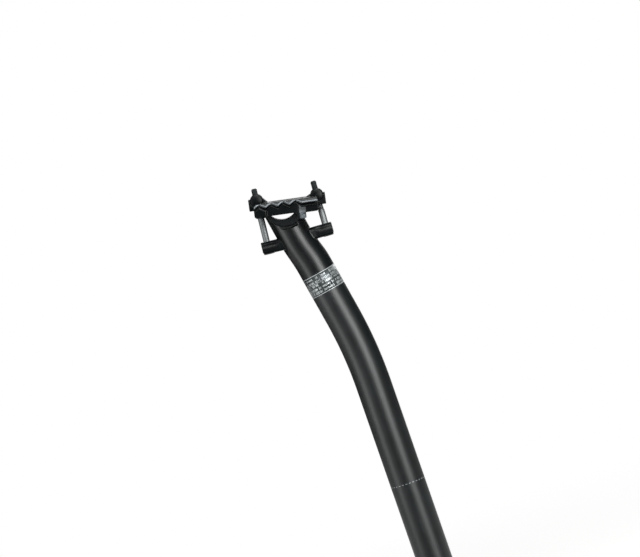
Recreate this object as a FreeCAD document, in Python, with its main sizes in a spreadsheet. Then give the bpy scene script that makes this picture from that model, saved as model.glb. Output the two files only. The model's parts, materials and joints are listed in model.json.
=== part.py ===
import FreeCAD, Part
import math
import os
import Sketcher

# A setback seatpost with a twin-bolt micro-adjust head, in millimetres.
# +X points forward, +Y to the left and +Z up along the straight part of the tube.
# The origin lies on the tube's axis at the bottom end of the post.

TOUCH = 1e-3

doc = FreeCAD.newDocument("SetbackSeatpost")
sheet = doc.addObject("Spreadsheet::Sheet", "Sizes")

SIZES = (
    # Tube
    ("tube_diameter", 27.2),
    ("tube_wall", 2.2),
    ("straight_length", 197.1),
    ("bend_radius", 331.0),
    ("bend_angle", 10.15),
    ("upper_length", 94.85),
    ("solid_head", 46.0),
    # Tilt centre and the seat under it
    ("centre_offset", 1.8),
    ("seat_radius", 15.3),
    ("seat_drop", 8.9),
    ("seat_lean", 19.15),
    ("scallop_depth", 2.2),
    ("scallop_side", 11.2),
    ("head_length", 50.0),
    ("neck_height", 26.0),
    ("head_shift", 1.9),
    ("head_radius", 13.2),
    ("crown_margin", 2.1),
    # Ears and the pivots of the bolts in them
    ("rear_pivot_back", 22.0),
    ("rear_pivot_drop", 28.2),
    ("front_pivot_ahead", 25.0),
    ("front_pivot_drop", 29.7),
    ("ear_width", 14.0),
    ("ear_skin", 2.2),
    ("ear_reach", 4.7),
    ("ear_depth", 9.4),
    ("ear_corner", 1.6),
    ("ear_top_round", 3.0),
    ("ear_under_round", 1.5),
    # Barrel washers
    ("washer_radius", 4.6),
    ("washer_height", 2.6),
    ("washer_width", 9.8),
    ("pivot_clearance", 0.05),
    ("pocket_clearance", 0.1),
    # Bolts
    ("bolt_diameter", 5.0),
    ("thread_root", 4.13),
    ("thread_below_nut", 12.0),
    ("head_diameter", 8.5),
    ("head_height", 5.0),
    ("head_chamfer", 0.5),
    ("socket_flats", 4.0),
    ("socket_depth", 2.5),
    ("head_room", 1.0),
    ("front_stub", 10.8),
    ("rear_stub", 9.2),
    ("stub_chamfer", 0.6),
    ("shank_clearance", 0.1),
    ("ear_hole_clearance", 0.6),
    # Barrel nuts
    ("nut_diameter", 10.0),
    ("nut_length", 20.0),
    ("nut_chamfer", 0.6),
    ("nut_bore", 5.0),
    ("rear_nut_back", 20.1),
    ("rear_nut_rise", 7.0),
    ("front_nut_ahead", 26.1),
    ("front_nut_rise", 5.15),
    # Rails, cradle and clamp, along and square to the rails
    ("clamp_angle", 11.15),
    ("rail_diameter", 7.0),
    ("rail_spacing", 44.0),
    ("rail_drop", 1.0),
    ("rail_wall", 1.9),
    ("jaw_width", 11.0),
    ("jaw_back", 22.8),
    ("jaw_ahead", 26.5),
    ("jaw_corner", 1.5),
    ("cradle_clearance", 0.1),
    ("strap_width", 25.0),
    ("window_radius", 12.6),
    ("window_back", 1.9),
    ("window_rise", 2.6),
    ("web_top", 2.8),
    ("web_rise", 1.0),
    ("rear_web_end", 15.0),
    ("front_web_end", 17.0),
    ("gusset_back", 9.5),
    ("gusset_length", 6.5),
    ("gusset_drop", 4.6),
    # Toothed parting line between cradle and clamp
    ("tooth_pitch", 9.2),
    ("tooth_height", 3.0),
    ("tooth_peak", 3.0),
    ("parting_gap", 0.5),
    ("side_gap", 0.3),
    ("cradle_bevel", 1.5),
    ("clamp_bevel", 0.7),
    # Middle of the clamp
    ("plate_under", 0.6),
    ("block_width", 18.0),
    ("block_half", 6.3),
    ("block_skin", 2.6),
    ("block_top", 1.3),
    ("block_slope", 2.5),
    ("slot_clearance", 1.0),
    ("recess_depth", 1.4),
    ("recess_width", 18.0),
    ("recess_margin", 2.0),
    # How far one form runs into the next so that they join
    ("overlap", 1.0),
)

for row, (alias, size) in enumerate(SIZES, start=1):
    sheet.set(f"A{row}", alias)
    sheet.set(f"B{row}", str(size))
    sheet.setAlias(f"B{row}", alias)
doc.recompute()

# Places that follow from the sizes: the tilt centre, the bolt pivots and the nuts

layout = doc.addObject("App::VarSet", "Layout")


def place(name, expression):
    """Adds a worked-out length or angle, in mm or degrees, that later expressions can use."""
    layout.addProperty("App::PropertyFloat", name, "Layout", "")
    layout.setExpression(name, expression)


place("bend_end_x", "-Sizes.bend_radius * (1 - cos(Sizes.bend_angle * 1deg))")
place("bend_end_z", "Sizes.straight_length + Sizes.bend_radius * sin(Sizes.bend_angle * 1deg)")
place("foot_x", "bend_end_x - Sizes.upper_length * sin(Sizes.bend_angle * 1deg)")
place("foot_z", "bend_end_z + Sizes.upper_length * cos(Sizes.bend_angle * 1deg)")
place("centre_x", "foot_x + Sizes.centre_offset * cos(Sizes.bend_angle * 1deg)")
place("centre_z", "foot_z + Sizes.centre_offset * sin(Sizes.bend_angle * 1deg)")

place("rear_pivot_x", "centre_x - Sizes.rear_pivot_back")
place("rear_pivot_z", "centre_z - Sizes.rear_pivot_drop")
place("front_pivot_x", "centre_x + Sizes.front_pivot_ahead")
place("front_pivot_z", "centre_z - Sizes.front_pivot_drop")

place("along_x", "cos(Sizes.clamp_angle * 1deg)")
place("along_z", "-sin(Sizes.clamp_angle * 1deg)")
place("rear_nut_x", "centre_x - Sizes.rear_nut_back * along_x - Sizes.rear_nut_rise * along_z")
place("rear_nut_z", "centre_z - Sizes.rear_nut_back * along_z + Sizes.rear_nut_rise * along_x")
place("front_nut_x", "centre_x + Sizes.front_nut_ahead * along_x - Sizes.front_nut_rise * along_z")
place("front_nut_z", "centre_z + Sizes.front_nut_ahead * along_z + Sizes.front_nut_rise * along_x")

for end in ("rear", "front"):
    run = f"({end}_nut_x - {end}_pivot_x)"
    climb = f"({end}_nut_z - {end}_pivot_z)"
    place(f"{end}_lean", f"atan({run} / {climb}) / 1deg")
    place(f"{end}_span", f"sqrt({run}^2 + {climb}^2)")

place("washer_flat", "Sizes.washer_radius - Sizes.washer_height")
place("ear_top", "Sizes.washer_radius + Sizes.ear_skin")
place("ear_under", "ear_top - Sizes.ear_depth")
place("pocket_half", "Sizes.head_diameter / 2 + Sizes.head_room")
place("cradle_radius", "Sizes.seat_radius - Sizes.cradle_clearance")
place("jaw_under", "-Sizes.rail_drop - Sizes.rail_diameter / 2 - Sizes.rail_wall")
place("clamp_top", "-Sizes.rail_drop + Sizes.rail_diameter / 2 + Sizes.rail_wall")
place("jaw_inner", "Sizes.rail_spacing / 2 - Sizes.jaw_width / 2")
place("jaw_outer", "Sizes.rail_spacing / 2 + Sizes.jaw_width / 2")
place("cradle_inner", "jaw_inner + Sizes.side_gap")
doc.recompute()


def value(expression):
    """Works an expression out as a plain number."""
    return float(layout.evalExpression(expression))


def new_body(label):
    """Makes a body whose label names the piece."""
    body = doc.addObject("PartDesign::Body", label)
    body.Label = label
    return body


def new_sketch(body, name, role, base=None, turn=None, axis=None):
    """Attaches a sketch to one of the body's own planes, moved and turned by expressions."""
    sketch = body.newObject("Sketcher::SketchObject", name)
    plane = next(item for item in body.Origin.OriginFeatures if item.Role == role)
    sketch.AttachmentSupport = (plane, [""])
    sketch.MapMode = "FlatFace"
    if axis:
        sketch.AttachmentOffset = FreeCAD.Placement(FreeCAD.Vector(), FreeCAD.Rotation(axis, 0))
    for letter, expression in (base or {}).items():
        sketch.setExpression(f"AttachmentOffset.Base.{letter}", expression)
    if turn:
        sketch.setExpression("AttachmentOffset.Rotation.Angle", turn)
    return sketch


def hold(sketch, kind, expression, *where):
    """Adds one constraint whose size is an expression."""
    index = sketch.addConstraint(Sketcher.Constraint(kind, *where, value(expression)))
    sketch.setExpression(f"Constraints[{index}]", expression)


def outline(sketch, corners):
    """Draws a closed polygon through corners that are pairs of expressions."""
    points = [FreeCAD.Vector(value(x), value(y), 0) for x, y in corners]
    first = len(sketch.Geometry)
    for here, there in zip(points, points[1:] + points[:1]):
        sketch.addGeometry(Part.LineSegment(here, there), False)
    count = len(points)
    for step in range(count):
        after = first + (step + 1) % count
        sketch.addConstraint(Sketcher.Constraint("Coincident", first + step, 2, after, 1))
    for step, (x, y) in enumerate(corners):
        hold(sketch, "DistanceX", x, -1, 1, first + step, 1)
        hold(sketch, "DistanceY", y, -1, 1, first + step, 1)


def ring(sketch, x, y, radius):
    """Draws one circle."""
    centre = FreeCAD.Vector(value(x), value(y), 0)
    circle = Part.Circle(centre, FreeCAD.Vector(0, 0, 1), value(radius))
    index = sketch.addGeometry(circle, False)
    hold(sketch, "DistanceX", x, -1, 1, index, 3)
    hold(sketch, "DistanceY", y, -1, 1, index, 3)
    hold(sketch, "Radius", radius, index)


def box_outline(x_low, x_high, y_low, y_high):
    """Gives the four corners of a rectangle."""
    return ((x_low, y_low), (x_high, y_low), (x_high, y_high), (x_low, y_high))


def extrude(body, kind, name, sketch, length, side="Symmetric", back=False):
    """Pads or pockets a sketch, symmetric about its plane unless told otherwise."""
    feature = body.newObject(f"PartDesign::{kind}", name)
    feature.Profile = sketch
    feature.SideType = side
    feature.Reversed = back
    feature.setExpression("Length", length)
    doc.recompute()
    return feature


def checked_cut(body, name, sketch, length, side="Symmetric", back=False):
    """Pockets a sketch and makes sure that it took something away."""
    before = body.Shape.Volume
    feature = extrude(body, "Pocket", name, sketch, length, side, back)
    if body.Shape.Volume > before - 1e-3:
        raise RuntimeError(f"{name} cuts nothing")
    return feature


def pipe_path(body, name, end_x, end_z):
    """Draws the tube's axis: straight up, round the bend and on to the given end."""
    sketch = new_sketch(body, name, "XZ_Plane")
    low = FreeCAD.Vector(0, value("Sizes.straight_length"), 0)
    high = FreeCAD.Vector(value("Layout.bend_end_x"), value("Layout.bend_end_z"), 0)
    top = FreeCAD.Vector(value(end_x), value(end_z), 0)
    radius = value("Sizes.bend_radius")
    centre = FreeCAD.Vector(-radius, low.y, 0)
    circle = Part.Circle(centre, FreeCAD.Vector(0, 0, 1), radius)
    turn = math.radians(value("Sizes.bend_angle"))
    sketch.addGeometry(Part.LineSegment(FreeCAD.Vector(), low), False)
    sketch.addGeometry(Part.ArcOfCircle(circle, 0, turn), False)
    sketch.addGeometry(Part.LineSegment(high, top), False)
    sketch.addConstraint(Sketcher.Constraint("Coincident", 0, 1, -1, 1))
    sketch.addConstraint(Sketcher.Constraint("Coincident", 0, 2, 1, 1))
    sketch.addConstraint(Sketcher.Constraint("Coincident", 1, 2, 2, 1))
    sketch.addConstraint(Sketcher.Constraint("Vertical", 0))
    hold(sketch, "DistanceY", "Sizes.straight_length", -1, 1, 0, 2)
    hold(sketch, "DistanceX", "-Sizes.bend_radius", -1, 1, 1, 3)
    hold(sketch, "DistanceX", "Layout.bend_end_x", -1, 1, 1, 2)
    hold(sketch, "DistanceY", "Layout.bend_end_z", -1, 1, 1, 2)
    hold(sketch, "DistanceX", end_x, -1, 1, 2, 2)
    hold(sketch, "DistanceY", end_z, -1, 1, 2, 2)
    return sketch


def along_tube(body, kind, name, diameter, end_x, end_z):
    """Sweeps a circle along the tube's axis as far as the given end."""
    path = pipe_path(body, f"{name}_path", end_x, end_z)
    section = new_sketch(body, f"{name}_section", "XY_Plane")
    circle = Part.Circle(FreeCAD.Vector(), FreeCAD.Vector(0, 0, 1), value(diameter) / 2)
    section.addGeometry(circle, False)
    section.addConstraint(Sketcher.Constraint("Coincident", 0, 3, -1, 1))
    hold(section, "Diameter", diameter, 0)
    doc.recompute()
    sweep = body.newObject(f"PartDesign::{kind}", name)
    sweep.Profile = section
    sweep.Spine = path
    doc.recompute()
    return sweep


def tube_point(below):
    """Gives a point on the upper tube's axis, a distance below the foot of the tilt centre."""
    x = f"Layout.foot_x + ({below}) * sin(Sizes.bend_angle * 1deg)"
    z = f"Layout.foot_z - ({below}) * cos(Sizes.bend_angle * 1deg)"
    return x, z


def side_edges(body, reach, fits):
    """Lists the edges that lie in a pair of side faces and whose ends pass a test."""
    names = []
    for number, edge in enumerate(body.Shape.copy().Edges, start=1):
        points = [vertex.Point for vertex in edge.Vertexes]
        outer = all(abs(abs(point.y) - reach) < TOUCH for point in points)
        across = abs(points[0].x - points[-1].x) > TOUCH
        if outer and across and all(fits(point) for point in points):
            names.append(f"Edge{number}")
    if not names:
        raise RuntimeError(f"{body.Label} has no such edges")
    return names


def dress_edges(body, kind, name, edges, size):
    """Bevels or rounds the named edges of the body's last feature."""
    last = body.Tip
    feature = body.newObject(f"PartDesign::{kind}", name)
    feature.Base = (last, edges)
    feature.setExpression("Size" if kind == "Chamfer" else "Radius", size)
    doc.recompute()
    return feature


# The post: bent tube, seat and ears in one forging

LARGE = "Sizes.tube_diameter * 2"

post = new_body("post")
along_tube(post, "AdditivePipe", "tube", "Sizes.tube_diameter", *tube_point("Sizes.head_length"))

# The head leans back from the tube and draws in a little
rounds = []
for name, below, shift, radius in (
    ("foot", "Sizes.head_length", "0", "Sizes.tube_diameter / 2"),
    ("neck", "Sizes.neck_height", "-Sizes.head_shift", "Sizes.head_radius"),
    ("top", "-Sizes.crown_margin", "-Sizes.head_shift", "Sizes.head_radius"),
):
    x, z = tube_point(below)
    section = new_sketch(post, f"head_{name}", "XY_Plane", {"x": x, "z": z},
                         "-Sizes.bend_angle", FreeCAD.Vector(0, 1, 0))
    ring(section, shift, "0", radius)
    rounds.append(section)
doc.recompute()
head = post.newObject("PartDesign::AdditiveLoft", "head")
head.Profile = rounds[0]
head.Sections = rounds[1:]
head.Ruled = True
doc.recompute()

# Each ear is a bar whose long corners are taken off in two facets each
FACET = "(1 - cos(45deg))"
ear_half = "Sizes.ear_width / 2"
ear_corners = (
    (f"{ear_half} - Sizes.ear_under_round", "Layout.ear_under"),
    (f"{ear_half} - Sizes.ear_under_round * {FACET}",
     f"Layout.ear_under + Sizes.ear_under_round * {FACET}"),
    (ear_half, "Layout.ear_under + Sizes.ear_under_round"),
    (ear_half, "Layout.ear_top - Sizes.ear_top_round"),
    (f"{ear_half} - Sizes.ear_top_round * {FACET}",
     f"Layout.ear_top - Sizes.ear_top_round * {FACET}"),
    (f"{ear_half} - Sizes.ear_top_round", "Layout.ear_top"),
)
mirrored = tuple((f"-({across})", height) for across, height in reversed(ear_corners))
for end, side in (("rear", "-"), ("front", "")):
    lean = f"Layout.{end}_lean"
    inward = f"Sizes.{end}_pivot_{'back' if side else 'ahead'}"
    tip = {
        "y": f"Layout.{end}_pivot_z - ({side}Sizes.ear_reach) * sin({lean} * 1deg)",
        "z": f"Layout.{end}_pivot_x + ({side}Sizes.ear_reach) * cos({lean} * 1deg)",
    }
    bar = new_sketch(post, f"{end}_ear_end", "YZ_Plane", tip, lean, FreeCAD.Vector(1, 0, 0))
    outline(bar, ear_corners + mirrored)
    extrude(post, "Pad", f"{end}_ear", bar, f"{inward} + Sizes.ear_reach", "One side", not side)
    local = {"x": f"Layout.{end}_pivot_x", "y": f"Layout.{end}_pivot_z"}
    slope = new_sketch(post, f"{end}_ear_corner_side", "XZ_Plane", local, f"-{lean}")
    outline(slope, (
        (f"{side}(Sizes.ear_reach - Sizes.ear_corner)", "Layout.ear_under"),
        (f"{side}(Sizes.ear_reach)", "Layout.ear_under + Sizes.ear_corner"),
        (f"{side}(Sizes.ear_reach)", "Layout.ear_under"),
    ))
    checked_cut(post, f"{end}_ear_corner", slope, "Sizes.ear_width")

# The top of the head is cut square to the way the seat faces
crown = new_sketch(
    post, "crown_side", "XZ_Plane", {"x": "Layout.centre_x", "y": "Layout.centre_z"},
    "-Sizes.seat_lean"
)
outline(crown, box_outline("-Sizes.tube_diameter", "Sizes.tube_diameter",
                           "-Sizes.seat_drop", "Sizes.tube_diameter"))
checked_cut(post, "head_crown", crown, LARGE)

hollow = new_sketch(post, "seat_side", "XZ_Plane")
ring(hollow, "Layout.centre_x", "Layout.centre_z", "Sizes.seat_radius")
checked_cut(post, "seat", hollow, LARGE)

for name, offset, back in (
    ("left", "-Sizes.scallop_side", True), ("right", "Sizes.scallop_side", False)
):
    rim = new_sketch(post, f"{name}_scallop_side", "XZ_Plane", {"z": offset})
    ring(rim, "Layout.centre_x", "Layout.centre_z", "Sizes.seat_radius + Sizes.scallop_depth")
    checked_cut(post, f"{name}_scallop", rim, "Sizes.tube_diameter", "One side", not back)

bore_end = tube_point("Sizes.solid_head")
along_tube(post, "SubtractivePipe", "bore", "Sizes.tube_diameter - 2 * Sizes.tube_wall", *bore_end)

for end, side in (("rear", "-"), ("front", "")):
    pivot = {"x": f"Layout.{end}_pivot_x", "y": f"Layout.{end}_pivot_z"}
    lean = f"-Layout.{end}_lean"
    trough = new_sketch(post, f"{end}_trough_side", "XZ_Plane", pivot, lean)
    ring(trough, "0", "0", "Sizes.washer_radius + Sizes.pivot_clearance")
    width = "Sizes.washer_width + 2 * Sizes.pocket_clearance"
    checked_cut(post, f"{end}_trough", trough, width)
    pocket = new_sketch(post, f"{end}_pocket_side", "XZ_Plane", pivot, lean)
    outline(pocket, box_outline("-Layout.pocket_half", "Layout.pocket_half",
                                "Layout.ear_under * 2",
                                "Layout.washer_flat + 2 * Sizes.pocket_clearance"))
    checked_cut(post, f"{end}_pocket", pocket, width)
    hole = new_sketch(
        post, f"{end}_hole_top", "XY_Plane",
        {"x": f"Layout.{end}_pivot_x", "z": f"Layout.{end}_pivot_z"},
        f"Layout.{end}_lean", FreeCAD.Vector(0, 1, 0)
    )
    ring(hole, "0", "0", "Sizes.bolt_diameter / 2 + Sizes.ear_hole_clearance")
    checked_cut(post, f"{end}_hole", hole, "Layout.ear_top + Sizes.overlap", "One side", True)


def on_centre(body):
    """Puts a body made along the rails at the tilt centre, turned to the rails' slope."""
    body.Placement = FreeCAD.Placement(
        FreeCAD.Vector(), FreeCAD.Rotation(FreeCAD.Vector(0, 1, 0), 0)
    )
    body.setExpression("Placement.Base.x", "Layout.centre_x")
    body.setExpression("Placement.Base.z", "Layout.centre_z")
    body.setExpression("Placement.Rotation.Angle", "Sizes.clamp_angle")


def on_bolt(body, end, point):
    """Puts a body made about a bolt's axis at the bolt's pivot or nut, turned to its lean."""
    body.Placement = FreeCAD.Placement(
        FreeCAD.Vector(), FreeCAD.Rotation(FreeCAD.Vector(0, 1, 0), 0)
    )
    body.setExpression("Placement.Base.x", f"Layout.{end}_{point}_x")
    body.setExpression("Placement.Base.z", f"Layout.{end}_{point}_z")
    body.setExpression("Placement.Rotation.Angle", f"Layout.{end}_lean")


def parting_line(lift):
    """Gives the toothed parting line from the back of the jaws to the front, lifted a little."""
    high = f"Sizes.tooth_peak + {lift}"
    low = f"Sizes.tooth_peak - Sizes.tooth_height + {lift}"
    corners = [("-Sizes.jaw_back", low)]
    for tooth in range(-2, 2):
        corners.append((f"{tooth} * Sizes.tooth_pitch", high))
        corners.append((f"({tooth} + 0.5) * Sizes.tooth_pitch", low))
    corners.append(("Sizes.jaw_ahead", low))
    return corners


def rail_grooves(body, name, open_above):
    """Cuts both rail grooves, straight-sided above the rail's middle where they open upwards."""
    groove = new_sketch(body, f"{name}_ends", "YZ_Plane")
    for side in ("-", ""):
        ring(groove, f"{side}Sizes.rail_spacing / 2", "-Sizes.rail_drop", "Sizes.rail_diameter / 2")
    checked_cut(body, name, groove, "4 * Sizes.jaw_ahead")
    if open_above:
        slot = new_sketch(body, f"{name}_sides", "YZ_Plane")
        for side in ("-", ""):
            middle = f"{side}Sizes.rail_spacing / 2"
            outline(slot, box_outline(
                f"{middle} - Sizes.rail_diameter / 2", f"{middle} + Sizes.rail_diameter / 2",
                "-Sizes.rail_drop", "Sizes.rail_diameter - Sizes.rail_drop"
            ))
        checked_cut(body, f"{name}_open", slot, "4 * Sizes.jaw_ahead")


# The lower cradle: strap in the seat, webs and rail wings

cradle = new_body("lower_cradle")
wing = new_sketch(cradle, "wing_side", "XZ_Plane")
outline(wing, [
    *parting_line("0"),
    ("Sizes.jaw_ahead", "Layout.jaw_under + Sizes.jaw_corner"),
    ("Sizes.jaw_ahead - Sizes.jaw_corner", "Layout.jaw_under"),
    ("-Sizes.jaw_back + Sizes.jaw_corner", "Layout.jaw_under"),
    ("-Sizes.jaw_back", "Layout.jaw_under + Sizes.jaw_corner"),
])
extrude(cradle, "Pad", "wings", wing, "2 * Layout.jaw_outer")
between = new_sketch(cradle, "between_wings_side", "XZ_Plane")
outline(between, box_outline("-2 * Sizes.jaw_back", "2 * Sizes.jaw_ahead",
                             "2 * Layout.jaw_under", "2 * Sizes.tooth_peak"))
checked_cut(cradle, "between_wings", between, "2 * Layout.cradle_inner")
rail_grooves(cradle, "rail_groove", True)
strap = new_sketch(cradle, "strap_side", "XZ_Plane")
ring(strap, "0", "0", "Layout.cradle_radius")
extrude(cradle, "Pad", "strap", strap, "Sizes.strap_width")
above = new_sketch(cradle, "strap_top_side", "XZ_Plane")
outline(above, box_outline("-Layout.cradle_radius - Sizes.overlap",
                           "Layout.cradle_radius + Sizes.overlap",
                           "-Sizes.web_top", "Layout.cradle_radius + Sizes.overlap"))
checked_cut(cradle, "strap_top", above, "Sizes.strap_width")
web = new_sketch(cradle, "web_side", "XZ_Plane")
outline(web, box_outline("-Sizes.rear_web_end", "-Sizes.window_back - Sizes.window_radius / 2",
                         "Layout.jaw_under + Sizes.web_rise", "-Sizes.web_top"))
outline(web, box_outline("-Sizes.window_back + Sizes.window_radius / 2", "Sizes.front_web_end",
                         "Layout.jaw_under", "-Sizes.web_top"))
extrude(cradle, "Pad", "webs", web, "2 * Layout.cradle_inner + Sizes.overlap")
window = new_sketch(cradle, "window_side", "XZ_Plane")
ring(window, "-Sizes.window_back", "Sizes.window_rise", "Sizes.window_radius")
checked_cut(cradle, "window", window, "2 * Layout.cradle_inner")
for name, sign in (("left", ""), ("right", "-")):
    gusset = new_sketch(cradle, f"{name}_gusset_end", "YZ_Plane", {"z": "Sizes.gusset_back"})
    outline(gusset, (
        (f"{sign}(Sizes.strap_width / 2 - Sizes.overlap)", "Layout.jaw_under + Sizes.overlap"),
        (f"{sign}(Layout.cradle_inner + Sizes.overlap)", "Layout.jaw_under + Sizes.overlap"),
        (f"{sign}(Layout.cradle_inner + Sizes.overlap)", "Layout.jaw_under"),
        (f"{sign}(Sizes.strap_width / 2)", "Layout.jaw_under - Sizes.gusset_drop"),
        (f"{sign}(Sizes.strap_width / 2 - Sizes.overlap)", "Layout.jaw_under - Sizes.gusset_drop"),
    ))
    extrude(cradle, "Pad", f"{name}_gusset", gusset, "Sizes.gusset_length", "One side")


low_point = value("Sizes.tooth_peak - Sizes.tooth_height")
teeth = side_edges(cradle, value("Layout.jaw_outer"), lambda point: point.z > low_point - TOUCH)
dress_edges(cradle, "Chamfer", "teeth_bevel", teeth, "Sizes.cradle_bevel")
on_centre(cradle)

# The upper clamp: toothed skirts, middle plate and the two nut blocks

clamp = new_body("upper_clamp")
skirt = new_sketch(clamp, "skirt_side", "XZ_Plane")
outline(skirt, [
    *parting_line("Sizes.parting_gap"),
    ("Sizes.jaw_ahead", "Layout.clamp_top - Sizes.jaw_corner"),
    ("Sizes.jaw_ahead - Sizes.jaw_corner", "Layout.clamp_top"),
    ("-Sizes.jaw_back + Sizes.jaw_corner", "Layout.clamp_top"),
    ("-Sizes.jaw_back", "Layout.clamp_top - Sizes.jaw_corner"),
])
extrude(clamp, "Pad", "skirts", skirt, "2 * Layout.jaw_outer")
under = new_sketch(clamp, "under_plate_side", "XZ_Plane")
outline(under, box_outline("-2 * Sizes.jaw_back", "2 * Sizes.jaw_ahead",
                           "2 * Layout.jaw_under", "2 * Sizes.tooth_peak"))
checked_cut(clamp, "under_plate", under, "2 * Layout.jaw_inner")
rail_grooves(clamp, "rail_groove_above", False)
high_point = value("Sizes.tooth_peak + Sizes.parting_gap")
teeth = side_edges(clamp, value("Layout.jaw_outer"), lambda point: point.z < high_point + TOUCH)
dress_edges(clamp, "Chamfer", "skirt_bevel", teeth, "Sizes.clamp_bevel")
plate = new_sketch(clamp, "plate_side", "XZ_Plane")
outline(plate, box_outline("-Sizes.jaw_back + Sizes.jaw_corner",
                           "Sizes.jaw_ahead - Sizes.jaw_corner",
                           "Sizes.plate_under", "Layout.clamp_top"))
extrude(clamp, "Pad", "plate", plate, "2 * Layout.jaw_inner")

for end, middle, rise, outward in (
    ("rear", "-Sizes.rear_nut_back", "Sizes.rear_nut_rise", "-"),
    ("front", "Sizes.front_nut_ahead", "Sizes.front_nut_rise", ""),
):
    inward = "" if outward else "-"
    floor = f"{rise} - Sizes.nut_diameter / 2 - Sizes.block_skin"
    top = f"{rise} + Sizes.block_top"
    block = new_sketch(clamp, f"{end}_block_side", "XZ_Plane")
    outline(block, (
        (f"{middle} {outward or '+'} Sizes.block_half", floor),
        (f"{middle} {outward or '+'} Sizes.block_half", top),
        (f"{middle} {inward or '+'} (Sizes.block_half - Sizes.block_slope / 2)", top),
        (f"{middle} {inward or '+'} (Sizes.block_half + Sizes.block_slope)", "Layout.clamp_top"),
        (f"{middle} {inward or '+'} (Sizes.block_half + Sizes.block_slope)", "Sizes.plate_under"),
        (f"{middle} {inward or '+'} Sizes.block_half", floor),
    ))
    extrude(clamp, "Pad", f"{end}_block", block, "Sizes.block_width")
    trough = new_sketch(clamp, f"{end}_nut_trough_side", "XZ_Plane")
    ring(trough, middle, rise, "Sizes.nut_diameter / 2 + Sizes.pivot_clearance")
    checked_cut(clamp, f"{end}_nut_trough", trough, "Sizes.nut_length + 2 * Sizes.overlap")
    slot = new_sketch(
        clamp, f"{end}_slot_top", "XY_Plane", {"x": middle, "z": rise},
        f"Layout.{end}_lean - Sizes.clamp_angle", FreeCAD.Vector(0, 1, 0)
    )
    ring(slot, "0", "0", "Sizes.thread_root / 2 + Sizes.slot_clearance")
    checked_cut(clamp, f"{end}_slot", slot, "Sizes.nut_diameter + Sizes.block_skin", "One side")

hollow = new_sketch(clamp, "recess_top", "XY_Plane", {"z": "Layout.clamp_top"})
gap = "Sizes.block_half + Sizes.block_slope + Sizes.recess_margin"
outline(hollow, box_outline(f"-Sizes.rear_nut_back + {gap}", f"Sizes.front_nut_ahead - ({gap})",
                            "-Sizes.recess_width / 2", "Sizes.recess_width / 2"))
checked_cut(clamp, "recess", hollow, "Sizes.recess_depth", "One side")
on_centre(clamp)

# Barrel nuts, barrel washers and bolts, each made about its bolt's axis

pieces = [post, cradle, clamp]
for end in ("front", "rear"):
    nut = new_body(f"{end}_barrel_nut")
    side = new_sketch(nut, f"{end}_nut_side", "XZ_Plane")
    ring(side, "0", "0", "Sizes.nut_diameter / 2")
    extrude(nut, "Pad", f"{end}_nut_bar", side, "Sizes.nut_length")
    ends = [f"Edge{number}" for number, edge in enumerate(nut.Shape.copy().Edges, start=1)
            if edge.Closed]
    dress_edges(nut, "Chamfer", f"{end}_nut_ends", ends, "Sizes.nut_chamfer")
    top = new_sketch(nut, f"{end}_nut_top", "XY_Plane")
    ring(top, "0", "0", "Sizes.nut_bore / 2")
    checked_cut(nut, f"{end}_nut_thread", top, "2 * Sizes.nut_diameter")
    on_bolt(nut, end, "nut")

    washer = new_body(f"{end}_barrel_washer")
    side = new_sketch(washer, f"{end}_washer_side", "XZ_Plane")
    ring(side, "0", "0", "Sizes.washer_radius")
    extrude(washer, "Pad", f"{end}_washer_bar", side, "Sizes.washer_width")
    below = new_sketch(washer, f"{end}_washer_flat_side", "XZ_Plane")
    outline(below, box_outline("-2 * Sizes.washer_radius", "2 * Sizes.washer_radius",
                               "-2 * Sizes.washer_radius", "Layout.washer_flat"))
    checked_cut(washer, f"{end}_washer_flat", below, "2 * Sizes.washer_width")
    top = new_sketch(washer, f"{end}_washer_top", "XY_Plane")
    ring(top, "0", "0", "Sizes.bolt_diameter / 2 + Sizes.shank_clearance")
    checked_cut(washer, f"{end}_washer_hole", top, "4 * Sizes.washer_radius")
    on_bolt(washer, end, "pivot")

    bolt = new_body(f"{end}_bolt")
    half = new_sketch(bolt, f"{end}_bolt_half", "XZ_Plane")
    head_low = "Layout.washer_flat - Sizes.head_height"
    thread_low = f"Layout.{end}_span - Sizes.thread_below_nut"
    tip = f"Layout.{end}_span + Sizes.{end}_stub"
    outline(half, (
        ("0", head_low),
        ("Sizes.head_diameter / 2 - Sizes.head_chamfer", head_low),
        ("Sizes.head_diameter / 2", f"{head_low} + Sizes.head_chamfer"),
        ("Sizes.head_diameter / 2", "Layout.washer_flat"),
        ("Sizes.bolt_diameter / 2", "Layout.washer_flat"),
        ("Sizes.bolt_diameter / 2", thread_low),
        ("Sizes.thread_root / 2", f"{thread_low} + Sizes.stub_chamfer"),
        ("Sizes.thread_root / 2", f"{tip} - Sizes.stub_chamfer"),
        ("Sizes.thread_root / 2 - Sizes.stub_chamfer", tip),
        ("0", tip),
    ))
    turned = bolt.newObject("PartDesign::Revolution", f"{end}_bolt_turned")
    turned.Profile = half
    turned.ReferenceAxis = (half, ["V_Axis"])
    turned.Angle = 360
    doc.recompute()
    key = new_sketch(bolt, f"{end}_key_end", "XY_Plane", {"z": head_low})
    corner = "Sizes.socket_flats / sqrt(3)"
    outline(key, [
        (f"{corner} * cos({60 * step} * 1deg)", f"{corner} * sin({60 * step} * 1deg)")
        for step in range(6)
    ])
    checked_cut(bolt, f"{end}_key", key, "Sizes.socket_depth", "One side", True)
    on_bolt(bolt, end, "pivot")
    pieces += [nut, washer, bolt]

doc.recompute()

# Nothing is written unless every object is sound

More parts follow.
